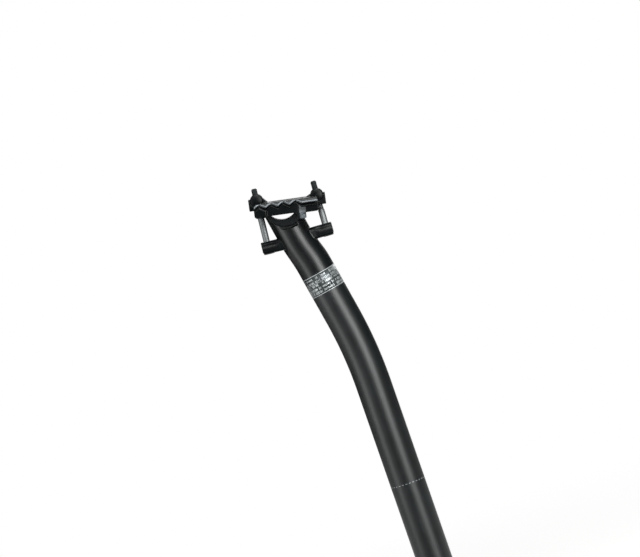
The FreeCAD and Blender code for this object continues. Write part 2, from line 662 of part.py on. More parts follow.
for item in doc.Objects:
    if "Invalid" in item.State or "Error" in item.State:
        raise RuntimeError(f"{item.Name} failed: {item.State}")
os.makedirs("parts", exist_ok=True)
for piece in pieces:
    shape = piece.Shape
    if shape.isNull() or not shape.isValid() or len(shape.Solids) != 1:
        raise RuntimeError(f"{piece.Label} isn't one sound solid")
    shape.exportStep(f"parts/{piece.Label}.step")
    print(piece.Label, round(shape.Volume, 1))
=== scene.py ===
"""Looks of a setback seatpost with a twin-bolt rail clamp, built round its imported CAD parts.

Everything is in metres, in the frame of the CAD parts: +X forward, +Y to the left, +Z up the straight tube.
"""

import json
import logging
import math
from contextlib import contextmanager
from dataclasses import dataclass, field
from enum import Enum, IntEnum
from typing import Any, Callable, Iterator, NamedTuple, Sequence

import bmesh
import bpy
from bpy.types import Material, Mesh, Node, NodeSocket, NodeTree, Object
from mathutils import Matrix, Vector

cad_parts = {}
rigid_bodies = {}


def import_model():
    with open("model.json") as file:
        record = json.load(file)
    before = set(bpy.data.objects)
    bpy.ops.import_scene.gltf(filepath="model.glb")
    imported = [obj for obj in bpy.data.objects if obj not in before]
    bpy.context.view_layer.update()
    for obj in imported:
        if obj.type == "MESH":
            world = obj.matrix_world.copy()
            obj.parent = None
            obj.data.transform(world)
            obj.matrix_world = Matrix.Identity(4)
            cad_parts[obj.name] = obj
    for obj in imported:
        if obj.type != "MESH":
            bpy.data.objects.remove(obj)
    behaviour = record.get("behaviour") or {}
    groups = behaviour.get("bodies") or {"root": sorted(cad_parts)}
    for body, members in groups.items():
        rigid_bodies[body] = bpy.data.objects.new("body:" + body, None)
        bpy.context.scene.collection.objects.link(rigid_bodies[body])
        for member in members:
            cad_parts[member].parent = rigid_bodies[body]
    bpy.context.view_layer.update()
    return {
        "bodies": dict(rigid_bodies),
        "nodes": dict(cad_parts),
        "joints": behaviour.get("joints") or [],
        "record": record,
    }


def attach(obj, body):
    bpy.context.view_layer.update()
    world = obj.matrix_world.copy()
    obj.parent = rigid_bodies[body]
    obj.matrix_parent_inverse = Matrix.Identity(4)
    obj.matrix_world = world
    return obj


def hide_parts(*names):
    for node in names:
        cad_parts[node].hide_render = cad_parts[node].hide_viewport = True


LOG = logging.getLogger("seatpost")
MM = 0.001
LEFT = Vector((0, 1, 0))
# Two measures that belong together, such as the ends of a range
Pair = tuple[float, float]
# Vertices nearer to each other than this are one, in metres
ONE_POINT = 1e-6
# Node types that come up often
MATH = "ShaderNodeMath"
VECTOR_MATH = "ShaderNodeVectorMath"
MAP_RANGE = "ShaderNodeMapRange"
MIX = "ShaderNodeMix"
COMBINE = "ShaderNodeCombineXYZ"
SEPARATE = "ShaderNodeSeparateXYZ"


class End(Enum):
    """The two ends of the head, each with a bolt, a barrel nut and a barrel washer."""

    FRONT = "front"
    REAR = "rear"


# How far each thread stands past the middle of its nut, in mm, as measured in the photograph
PAST_NUT = {End.FRONT: 10.8, End.REAR: 9.2}


def srgb(code: str) -> tuple[float, float, float, float]:
    """Turns an sRGB hex colour, such as "3a3f40", to linear RGBA with an alpha of 1."""
    channels = (int(code[i : i + 2], 16) / 255 for i in (0, 2, 4))
    linear = [c / 12.92 if c <= 0.04045 else ((c + 0.055) / 1.055) ** 2.4 for c in channels]
    return (linear[0], linear[1], linear[2], 1.0)


def wire(node: Node, links: dict[Any, Any]) -> None:
    """Sets a node's inputs, and links those that another node feeds.

    Args:
        node: the node.
        links: input name or number to a value, or to the output socket that feeds it.
    """
    for name, value in links.items():
        if isinstance(value, NodeSocket):
            node.id_data.links.new(value, node.inputs[name])
        else:
            node.inputs[name].default_value = value


def add_node(tree: NodeTree, kind: str, links: dict[Any, Any] | None = None, out: int | str = 0,
             **settings: Any) -> NodeSocket:
    """Adds a node with its settings and links.

    Args:
        tree: the tree that gets the node.
        kind: the node's type name.
        links: its inputs, as wire takes them.
        out: name or number of the output that is wanted.
        **settings: the node's own properties.

    Returns:
        The wanted output.
    """
    node = tree.nodes.new(kind)
    for name, value in settings.items():
        setattr(node, name, value)
    wire(node, links or {})
    return node.outputs[out]


def noise(tree: NodeTree, grain_mm: float, detail: float, stretch: Sequence[float] = (1, 1, 1),
          place: NodeSocket | None = None) -> NodeSocket:
    """Gives noise whose grain has a real size.

    Args:
        tree: the material's tree.
        grain_mm: size of one grain.
        detail: octaves of finer noise on top.
        stretch: how much shorter the grain is along each axis, for brushed or scuffed marks.
        place: what the noise follows in place of the part's own frame.

    Returns:
        The noise's factor output.
    """
    place = place or add_node(tree, "ShaderNodeTexCoord", out="Object")
    turned = add_node(tree, "ShaderNodeMapping", {"Vector": place, "Scale": stretch})
    return add_node(tree, "ShaderNodeTexNoise", {
        "Vector": turned, "Scale": 1 / (grain_mm * MM), "Detail": detail,
    })


def tones(tree: NodeTree, pattern: NodeSocket, dark: str, light: str, low: float = 0.3,
          high: float = 0.7) -> NodeSocket:
    """Colours a pattern from a dark to a light tone between two of its levels."""
    colour = add_node(tree, "ShaderNodeValToRGB", {"Fac": pattern})
    for stop, place, code in zip(colour.node.color_ramp.elements, (low, high), (dark, light)):
        stop.position = place
        stop.color = srgb(code)
    return colour


def within(tree: NodeTree, value: NodeSocket, low: float, high: float, blur: float) -> NodeSocket:
    """Gives 1 where a value lies between two others and 0 outside, with blurred edges."""
    rise = add_node(tree, MAP_RANGE, {"Value": value, "From Min": low - blur, "From Max": low + blur})
    fall = add_node(tree, MAP_RANGE, {
        "Value": value, "From Min": high - blur, "From Max": high + blur, "To Min": 1.0, "To Max": 0.0,
    })
    return add_node(tree, MATH, {0: rise, 1: fall}, operation="MULTIPLY")


def new_material(name: str) -> tuple[Material, NodeTree, Node]:
    """Makes a material and gives it with its tree and its Principled shader."""
    material = bpy.data.materials.new(name)
    material.use_nodes = True
    return material, material.node_tree, material.node_tree.nodes["Principled BSDF"]


@dataclass(frozen=True)
class Finish:
    """A finish of two near tones, whose tone, sheen and relief follow one fine pattern."""

    name: str
    dark: str
    light: str
    roughness: float
    specular: float = 0.5
    metallic: float = 0.0
    grain_mm: float = 0.5
    detail: float = 3.0
    stretch: tuple[float, float, float] = (1.0, 1.0, 1.0)
    # How far the roughness goes below and above its middle
    uneven: Pair = (0.06, 0.06)
    relief_mm: float = 0.008
    relief_strength: float = 0.4

    def pattern(self, tree: NodeTree) -> NodeSocket:
        """Gives the fine pattern."""
        return noise(tree, self.grain_mm, self.detail, self.stretch)

    def colour(self, tree: NodeTree, pattern: NodeSocket) -> NodeSocket:
        """Gives the surface's colour."""
        return tones(tree, pattern, self.dark, self.light)

    def surface(self, tree: NodeTree, pattern: NodeSocket, rough: NodeSocket) -> dict[str, Any]:
        """Gives the shader's colour, roughness and metallic inputs."""
        return {"Base Color": self.colour(tree, pattern), "Roughness": rough, "Metallic": self.metallic}

    def make(self) -> Material:
        """Builds the material."""
        material, tree, shader = new_material(self.name)
        pattern = self.pattern(tree)
        below, above = self.uneven
        rough = add_node(tree, MAP_RANGE, {
            "Value": pattern, "To Min": self.roughness - below, "To Max": self.roughness + above,
        })
        relief = add_node(tree, "ShaderNodeBump", {
            "Height": pattern, "Distance": self.relief_mm * MM, "Strength": self.relief_strength,
        })
        wire(shader, {"Specular IOR Level": self.specular, "Normal": relief})
        wire(shader, self.surface(tree, pattern, rough))
        return material


@dataclass(frozen=True)
class CoatedSteel(Finish):
    """Turned steel under a thin coat, with the tool's fine lengthwise grain."""

    metallic: float = 1.0
    stretch: tuple[float, float, float] = (1.0, 1.0, 0.15)


@dataclass(frozen=True)
class AnodisedForging(Finish):
    """Black anodised aluminium, bead blasted first: an even satin black with a soft wide shine."""

    dark: str = "030606"
    light: str = "090c0d"
    roughness: float = 0.3
    # The blasted grit is about 0.1 mm, drawn at 0.45 mm so that it shows
    grain_mm: float = 0.45
    detail: float = 2.0
    uneven: Pair = (0.05, 0.05)
    relief_mm: float = 0.012
    relief_strength: float = 0.5
    patch_mm: float = 14.0

    def colour(self, tree: NodeTree, pattern: NodeSocket) -> NodeSocket:
        """Gives the black, a little uneven in wide patches."""
        return tones(tree, noise(tree, self.patch_mm, 2.0), self.dark, self.light)


@dataclass(frozen=True)
class JawForging(AnodisedForging):
    """The same forging for a jaw, with places on it measured in mm from the toothed parting line."""

    clamp_frame: Matrix = field(kw_only=True)
    # 1 for the jaw above the line and -1 for the one under it
    side: float = -1.0
    gap_mm: float = 0.0
    pitch_mm: float = 9.2
    tooth_mm: float = 3.0
    # Ahead of this many teeth from the tilt centre the line is straight
    teeth_ahead: float = 1.5
    outer_mm: float = 27.5
    # Where the teeth's bevel ends, as seen from the side
    bevel_end_mm: float = 1.74

    def places(self, tree: NodeTree) -> tuple[NodeSocket, NodeSocket, NodeSocket]:
        """Gives the place along the grooves, the distance from the line and the distance from the middle."""
        to_clamp = self.clamp_frame.inverted()
        turned = add_node(tree, "ShaderNodeMapping", {
            "Vector": add_node(tree, "ShaderNodeTexCoord", out="Object"),
            "Rotation": to_clamp.to_euler(), "Location": to_clamp.translation,
        }, vector_type="POINT")
        in_mm = add_node(tree, VECTOR_MATH, {0: turned, "Scale": 1 / MM}, operation="SCALE")
        x, y, z = add_node(tree, SEPARATE, {0: in_mm}).node.outputs
        half_pitch = self.pitch_mm / 2
        folded = add_node(tree, MATH, {0: x, 1: half_pitch}, operation="PINGPONG")
        off_peak = add_node(tree, MATH, {0: folded, 1: half_pitch}, operation="DIVIDE")
        on_peak = add_node(tree, MATH, {0: 1.0, 1: off_peak}, operation="SUBTRACT")
        rise = add_node(tree, MATH, {0: on_peak, 1: self.tooth_mm}, operation="MULTIPLY")
        toothed = add_node(tree, MATH, {0: x, 1: self.teeth_ahead * self.pitch_mm}, operation="LESS_THAN")
        teeth = add_node(tree, MATH, {0: rise, 1: toothed}, operation="MULTIPLY")
        line = add_node(tree, MATH, {0: teeth, 1: self.gap_mm}, operation="ADD")
        above = add_node(tree, MATH, {0: z, 1: line}, operation="SUBTRACT")
        past = add_node(tree, MATH, {0: above, 1: self.side}, operation="MULTIPLY")
        return x, past, add_node(tree, MATH, {0: y}, operation="ABSOLUTE")


@dataclass(frozen=True)
class CradleForging(JawForging):
    """The cradle's finish: a painted highlight in grey on the rib of each wing, and a little greyer on the
    rounded seat.
    """

    rib_mm: Pair = (11.5, 15.8)
    rib_inner_mm: float = 12.6
    rib_low_mm: float = 30.0
    # How softly the painted highlight ends along the grooves, and elsewhere
    along_blur_mm: float = 0.5
    blur_mm: float = 0.3
    # The painted highlight's tones, and the depths under the line over which it goes from the first to the
    # second
    highlight_fade_mm: Pair = (4.0, 8.0)
    highlight_tones: tuple[str, str] = ("1c2223", "6c7377")
    # Past these depths under the line the seat is a little greyer than the wings
    seat_mm: Pair = (7.5, 9.5)
    seat_tone: str = "191c1d"

    def colour(self, tree: NodeTree, pattern: NodeSocket) -> NodeSocket:
        """Mixes the seat's tone and the rib's painted highlight into the black."""
        along, below, outward = self.places(tree)
        low, high = self.seat_mm
        seat = add_node(tree, MAP_RANGE, {"Value": below, "From Min": low, "From Max": high})
        black = add_node(tree, MIX, {
            0: seat, 6: super().colour(tree, pattern), 7: srgb(self.seat_tone),
        }, 2, data_type="RGBA")
        # A painted highlight: the rib's outer face is coloured grey where the strip lamp's highlight falls
        on_rib = within(tree, along, *self.rib_mm, self.along_blur_mm)
        under = within(tree, below, self.bevel_end_mm, self.rib_low_mm, self.blur_mm)
        outside = within(tree, outward, self.rib_inner_mm, self.outer_mm + 1, self.blur_mm)
        rib = add_node(tree, MATH, {0: on_rib, 1: under}, operation="MULTIPLY")
        wear_and_highlight = add_node(tree, MATH, {0: rib, 1: outside}, operation="MULTIPLY")
        # The painted highlight is darker near the toothed line and lighter lower down
        low, high = self.highlight_fade_mm
        depth = add_node(tree, MAP_RANGE, {"Value": below, "From Min": low, "From Max": high})
        painted_highlight = tones(tree, depth, *self.highlight_tones, 0.0, 1.0)
        return add_node(tree, MIX, {0: wear_and_highlight, 6: black, 7: painted_highlight}, 2, data_type="RGBA")


@dataclass(frozen=True)
class ClampForging(JawForging):
    """The upper clamp's finish: the bevel on its teeth is milled after anodising and shows bare metal."""

    side: float = 1.0
    gap_mm: float = 0.5
    bevel_mm: float = 1.5
    bevel_start_mm: float = -0.9
    blur_mm: float = 0.07
    metal: tuple[str, str] = ("4d5153", "626668")
    metal_roughness: Pair = (0.34, 0.46)
    # Cutter marks are about 0.1 mm apart, drawn at 0.4 mm so that they show
    cutter_mm: float = 0.4

    def surface(self, tree: NodeTree, pattern: NodeSocket, rough: NodeSocket) -> dict[str, Any]:
        """Mixes in the milled bevel, which follows the toothed line."""
        _, above, outward = self.places(tree)
        edge = self.outer_mm - self.bevel_mm
        near_line = within(tree, above, self.bevel_start_mm, self.bevel_end_mm, self.blur_mm)
        near_edge = within(tree, outward, edge, self.outer_mm + 1, self.blur_mm)
        milled = add_node(tree, MATH, {0: near_line, 1: near_edge}, operation="MULTIPLY")
        cutter = noise(tree, self.cutter_mm, 3.0, (0.1, 1, 1))
        low, high = self.metal_roughness
        bright = add_node(tree, MAP_RANGE, {"Value": cutter, "To Min": low, "To Max": high})
        return {
            "Base Color": add_node(tree, MIX, {
                0: milled, 6: self.colour(tree, pattern), 7: tones(tree, cutter, *self.metal),
            }, 2, data_type="RGBA"),
            "Roughness": add_node(tree, MIX, {0: milled, 2: rough, 3: bright}, data_type="FLOAT"),
            "Metallic": milled,
        }


@dataclass(frozen=True)
class TurnedSteel(Finish):
    """Black oxide on turned steel: dark, with the lathe's fine rings on its ends and round its barrel."""

    dark: str = "030506"
    light: str = "0d1112"
    roughness: float = 0.36
    specular: float = 0.15
    # The lathe's feed is about 0.1 mm, drawn at 0.5 mm so that it shows
    grain_mm: float = 0.5
    uneven: Pair = (0.08, 0.08)
    relief_mm: float = 0.012
    relief_strength: float = 0.6
    centre: Vector = field(kw_only=True)

    def pattern(self, tree: NodeTree) -> NodeSocket:
        """Gives rings round an axis that lies across the post, through the centre."""
        place = add_node(tree, "ShaderNodeTexCoord", out="Object")
        arm = add_node(tree, VECTOR_MATH, {0: place, 1: self.centre}, operation="SUBTRACT")
        level = add_node(tree, VECTOR_MATH, {0: arm, 1: Vector((1, 0, 1))}, operation="MULTIPLY")
        reach = add_node(tree, VECTOR_MATH, {0: level}, "Value", operation="LENGTH")
        path = add_node(tree, COMBINE, {"X": reach, "Y": add_node(tree, SEPARATE, {0: arm}, "Y")})
        return noise(tree, self.grain_mm, self.detail, place=path)


@dataclass(frozen=True)
class ScuffedTube(Finish):
    """The same black anodising on the drawn tube, with faint lengthwise scuffs from sliding in and out."""

    dark: str = "060a0b"
    light: str = "0f1415"
    roughness: float = 0.4
    specular: float = 0.58
    grain_mm: float = 0.6
    detail: float = 4.0
    stretch: tuple[float, float, float] = (1.0, 1.0, 0.02)
    uneven: Pair = (0.05, 0.06)
    relief_mm: float = 0.01
    relief_strength: float = 0.35
    patch_mm: float = 18.0
    scuff: str = "2e3233"
    scuff_strength: float = 0.55
    # Height above which there are no scuffs, and below which they are full, in metres
    scuff_heights: Pair = (0.2, 0.13)

    def colour(self, tree: NodeTree, pattern: NodeSocket) -> NodeSocket:
        """Mixes the scuffs into the black."""
        ground = tones(tree, noise(tree, self.patch_mm, 2.0), self.dark, self.light)
        marks = tones(tree, pattern, "000000", "ffffff", 0.66, 0.78)
        place = add_node(tree, "ShaderNodeTexCoord", out="Object")
        none, full = self.scuff_heights
        low = add_node(tree, MAP_RANGE, {
            "Value": add_node(tree, SEPARATE, {0: place}, "Z"), "From Min": none, "From Max": full,
        })
        wear_and_highlight = add_node(tree, MATH, {0: marks, 1: low}, operation="MULTIPLY")
        faint = add_node(tree, MATH, {0: wear_and_highlight, 1: self.scuff_strength}, operation="MULTIPLY")
        return add_node(tree, MIX, {0: faint, 6: ground, 7: srgb(self.scuff)}, 2, data_type="RGBA")


@dataclass(frozen=True)
class RolledThread(Finish):
    """Zinc plated thread, bright metal up to the nut, with painted shade above it: the stub past the nut is
    coloured dark and not metallic.
    """

    dark: str = "5d6061"
    light: str = "8a8d8e"
    roughness: float = 0.52
    specular: float = 0.12
    uneven: Pair = (0.08, 0.08)
    relief_mm: float = 0.01
    # The stub's painted shade: dark tones in place of the zinc above the nut
    film: tuple[str, str] = ("1a1e1f", "303536")
    # The painted shade fades in over this height either side of the nut's middle
    shade_fade_mm: float = 1.0
    nut: Vector = field(kw_only=True)
    up: Vector = field(kw_only=True)

    def surface(self, tree: NodeTree, pattern: NodeSocket, rough: NodeSocket) -> dict[str, Any]:
        """Paints shade over the metal above the nut, with dark tones and no metal."""
        place = add_node(tree, "ShaderNodeTexCoord", out="Object")
        arm = add_node(tree, VECTOR_MATH, {0: place, 1: self.nut}, operation="SUBTRACT")
        height = add_node(tree, VECTOR_MATH, {0: arm, 1: self.up}, "Value", operation="DOT_PRODUCT")
        fade = self.shade_fade_mm * MM
        # 1 below the nut, where the zinc shows; 0 above it, where shade is painted
        unshaded = add_node(tree, MAP_RANGE, {"Value": height, "From Min": fade, "From Max": -fade})
        colour = add_node(tree, MIX, {
            0: unshaded, 6: tones(tree, pattern, *self.film), 7: self.colour(tree, pattern),
        }, 2, data_type="RGBA")
        return {"Base Color": colour, "Roughness": rough, "Metallic": unshaded}


class Finishes:
    """All the finishes, each made once."""

    def __init__(self, layout: "Layout") -> None:
        """Builds every material.

        Args:
            layout: the places that the patterns follow.
        """
        self.tube = ScuffedTube("black_anodised_tube").make()
        self.forging = AnodisedForging("black_anodised_forging", "030607", "0b0f10", 0.34, 0.46).make()
        # Beside the turned barrel the ears keep the die's matt skin
        self.skin = AnodisedForging("matt_forged_skin", "030607", "0b0f10", 0.34, 0.16).make()
        jaws = layout.clamp_frame
        self.cradle = CradleForging("black_anodised_cradle", specular=0.16, clamp_frame=jaws).make()
        # The upper clamp is blasted longer and looks a little greyer
        grey = ("040708", "0b0f10")
        self.clamp = ClampForging("grey_anodised_clamp", *grey, 0.34, 0.22, clamp_frame=jaws).make()
        # Zinc plating on a rolled shank: pale and a little cloudy
        self.zinc = CoatedSteel("zinc_plated_steel", "7c8081", "979b9b", 0.6).make()
        # Black oxide on the bolt's head: dark with a slight oily sheen
        self.oxide = CoatedSteel("black_oxide_steel", "0e1213", "1c2122", 0.36, metallic=0.0).make()
        self.thread: dict[End, Material] = {}
        self.nut: dict[End, Material] = {}
        self.washer: dict[End, Material] = {}
        for end in End:
            nut, pivot, name = layout.nut[end], layout.pivot[end], end.value
            self.thread[end] = RolledThread(f"zinc_{name}_thread", nut=nut, up=layout.bolt_up[end]).make()
            self.nut[end] = TurnedSteel(f"black_oxide_{name}_nut", centre=nut).make()
            self.washer[end] = TurnedSteel(f"black_oxide_{name}_washer", centre=pivot).make()
        self.film = Finish("silver_print", "8d9293", "b2b7b8", 0.36, metallic=0.42).make()
        self.ink = Finish("grey_print_ground", "2b3132", "545a5b", 0.34, metallic=0.5, grain_mm=0.9).make()
        self.etch = Finish("laser_etched_mark", "7d8284", "9a9fa1", 0.5, metallic=0.3, grain_mm=0.4).make()


def share(low: float, high: float, value: float) -> float:
    """Rises evenly from 0 at low to 1 at high."""
    return min(1.0, max(0.0, (value - low) / (high - low)))


def ease(low: float, high: float, value: float) -> float:
    """Rises smoothly from 0 at low to 1 at high."""
    part = share(low, high, value)
    return part * part * (3 - 2 * part)


def placed(origin: Vector, *axes: Vector) -> Matrix:
    """Gives the matrix of a local frame from its origin and its three axes."""
    return Matrix.Translation(origin) @ Matrix(axes).transposed().to_4x4()


def upright(origin: Vector, up: Vector) -> Matrix:
    """Gives the matrix of a local frame whose Z is up and whose Y is the part's Y."""
    return placed(origin, LEFT.cross(up).normalized(), LEFT, up)


def link(obj: Object) -> Object:
    """Puts an object in the scene."""
    bpy.context.scene.collection.objects.link(obj)
    return obj


def mesh_object(name: str, mesh: Mesh, materials: Sequence[Material]) -> Object:
    """Makes an object of a new mesh and gives it its materials."""
    for material in materials:
        mesh.materials.append(material)
    return link(bpy.data.objects.new(name, mesh))


def rectangle(name: str, size: Pair, place: Matrix) -> Mesh:
    """Makes a mesh of one flat face round a place."""
    mesh = bpy.data.meshes.new(name)
    signs = ((-1, -1), (1, -1), (1, 1), (-1, 1))
    mesh.from_pydata([(x * size[0] / 2, y * size[1] / 2, 0) for x, y in signs], [], [(0, 1, 2, 3)])
    mesh.transform(place)
    return mesh


def bake_modifiers(obj: Object) -> Object:
    """Turns an object's modifiers and its place into plain mesh.

    Args:
        obj: the object, of any shape type.

    Returns:
        A mesh object of the same name at the origin; the old one is gone.
    """
    graph = bpy.context.evaluated_depsgraph_get()
    graph.update()
    mesh = bpy.data.meshes.new_from_object(obj.evaluated_get(graph), depsgraph=graph)
    name = obj.name
    mesh.transform(obj.matrix_world)
    bpy.data.objects.remove(obj)
    LOG.info("%s: %d faces", name, len(mesh.polygons))
    return link(bpy.data.objects.new(name, mesh))


def dress(obj: Object, material: Material) -> None:
    """Gives all of an object one finish."""
    obj.data.materials.clear()
    obj.data.materials.append(material)


def shade_smooth(obj: Object) -> None:
    """Sets smooth shading on a whole mesh."""
    for face in obj.data.polygons:
        face.use_smooth = True


@contextmanager
def opened(mesh: Mesh) -> Iterator[bmesh.types.BMesh]:
    """Opens a closed shape's mesh for changes; then its faces are pointed outwards and written back."""
    shape = bmesh.new()
    shape.from_mesh(mesh)
    yield shape
    bmesh.ops.recalc_face_normals(shape, faces=shape.faces)
    shape.to_mesh(mesh)
    shape.free()


def fix_outward(obj: Object) -> None:
    """Merges doubles and points every face of a closed mesh outwards."""
    with opened(obj.data) as shape:
        bmesh.ops.remove_doubles(shape, verts=shape.verts, dist=ONE_POINT)


def keep_above(piece: Object, point: Vector, up: Vector) -> None:
    """Cuts a closed mesh by a plane, keeps the side that up points to and closes it."""
    with opened(piece.data) as shape:
        everything = [*shape.verts, *shape.edges, *shape.faces]
        bmesh.ops.bisect_plane(shape, geom=everything, plane_co=point, plane_no=up, clear_inner=True)
        rim = [edge for edge in shape.edges if edge.is_boundary]
        bmesh.ops.triangle_fill(shape, edges=rim, use_beauty=True)


def sound_copy(node: Object, name: str) -> Object:
    """Copies a CAD node's mesh into an object of its own, with its loose triangles merged."""
    piece = link(bpy.data.objects.new(name, node.data.copy()))
    fix_outward(piece)
    return piece


def soften(piece: Object, voxel_mm: float, passes: int) -> Object:
    """Turns sharp CAD edges into the small radii that forging and blasting leave.

    Args:
        piece: a closed mesh.
        voxel_mm: size of the new mesh's faces.
        passes: how often it is smoothed; each pass widens the radii a little.

    Returns:
        The softened piece.
    """
    remesh = piece.modifiers.new("forged", "REMESH")
    remesh.mode = "VOXEL"
    remesh.voxel_size = voxel_mm * MM
    smooth = piece.modifiers.new("blasted", "SMOOTH")
    smooth.factor = 0.5
    smooth.iterations = passes
    piece = bake_modifiers(piece)
    shade_smooth(piece)
    return piece


def spots(piece: Object) -> Iterator[tuple[Any, Vector]]:
    """Gives each vertex of a piece with its place in mm."""
    for vertex in piece.data.vertices:
        yield vertex, vertex.co / MM


def place_piece(piece: Object, body: str, replaced: Sequence[str] = ()) -> None:
    """Makes a piece ride on its body and hides the CAD nodes that it replaces."""
    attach(piece, body)
    for node in replaced:
        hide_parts(node)


class Recipe:
    """A Geometry Nodes tree under construction, with named inputs for its sizes."""

    def __init__(self, name: str, sizes: dict[str, float]) -> None:
        """Starts a tree with one float input for each size.

        Args:
            name: the tree's name.
            sizes: input name to its value.
        """
        self.tree = bpy.data.node_groups.new(name, "GeometryNodeTree")
        sockets = self.tree.interface
        sockets.new_socket("Geometry", in_out="OUTPUT", socket_type="NodeSocketGeometry")
        self.values: dict[str, float] = {}
        for size, value in sizes.items():
            socket = sockets.new_socket(size, in_out="INPUT", socket_type="NodeSocketFloat")
            self.values[socket.identifier] = value
        self.given = self.tree.nodes.new("NodeGroupInput").outputs

    def add(self, kind: str, links: dict[Any, Any] | None = None, out: int | str = 0,
            **settings: Any) -> NodeSocket:
        """Adds a node to the tree; see add_node."""
        return add_node(self.tree, kind, links, out, **settings)

    def finish(self, parts: Sequence[NodeSocket], material: Material, place: Matrix, name: str) -> Object:
        """Ends the tree and turns its result into a plain, closed mesh object.

        Args:
            parts: the geometries that make up the piece.
            material: what all of it is made of.
            place: where the result goes in the part's frame.
            name: the piece's name.

        Returns:
            The finished piece, with its place in its mesh.
        """
        joined = self.add("GeometryNodeJoinGeometry")
        for part in parts:
            self.tree.links.new(part, joined.node.inputs[0])
        real = self.add("GeometryNodeRealizeInstances", {0: joined})
        dressed = self.add("GeometryNodeSetMaterial", {"Geometry": real, "Material": material})
        wire(self.tree.nodes.new("NodeGroupOutput"), {0: dressed})
        host = link(bpy.data.objects.new(name, bpy.data.meshes.new(name)))
        modifier = host.modifiers.new("recipe", "NODES")
        modifier.node_group = self.tree
        for identifier, value in self.values.items():
            modifier[identifier] = value
        host.matrix_world = place
        bpy.context.view_layer.update()
        piece = bake_modifiers(host)
        fix_outward(piece)
        return piece


@dataclass
class Layout:
    """Places read from the frame: the clamp's own frame, and each bolt's pivot, axis and nut."""

    frame: dict[str, Any]
    bend_radius: float = 331.0 * MM
    bend_angle: float = math.radians(10.15)
    upper_length: float = 94.85 * MM

    def __post_init__(self) -> None:
        """Reads the joints and mounts."""
        joints = {joint["name"]: joint for joint in self.frame["joints"]}
        mounts = {mount["name"]: mount for mount in self.frame["record"]["mounts"]}
        shaft = mounts["post_shaft"]["dims"]
        self.radius = shaft["r_mm"] * MM
        self.straight = shaft["length_mm"] * MM
        self.pivot = {end: Vector(joints[f"{end.value}_bolt_turn"]["pos_m"]) for end in End}
        self.bolt_up = {end: -Vector(joints[f"{end.value}_bolt_turn"]["axis"]) for end in End}
        self.nut = {end: Vector(joints[f"{end.value}_nut_rock"]["pos_m"]) for end in End}
        # The clamp's frame has X along its grooves, Z square to them and its origin at the tilt centre
        along = Vector(mounts["rail_clamp_left"]["axis"])
        self.clamp_frame = upright(Vector(joints["cradle_tilt"]["pos_m"]), along.cross(LEFT).normalized())
        sine, cosine = math.sin(self.bend_angle), math.cos(self.bend_angle)
        self.upper_up = Vector((-sine, 0, cosine))
        bend_end = Vector((self.bend_radius * (cosine - 1), 0, self.straight + self.bend_radius * sine))
        self.foot = bend_end + self.upper_up * self.upper_length


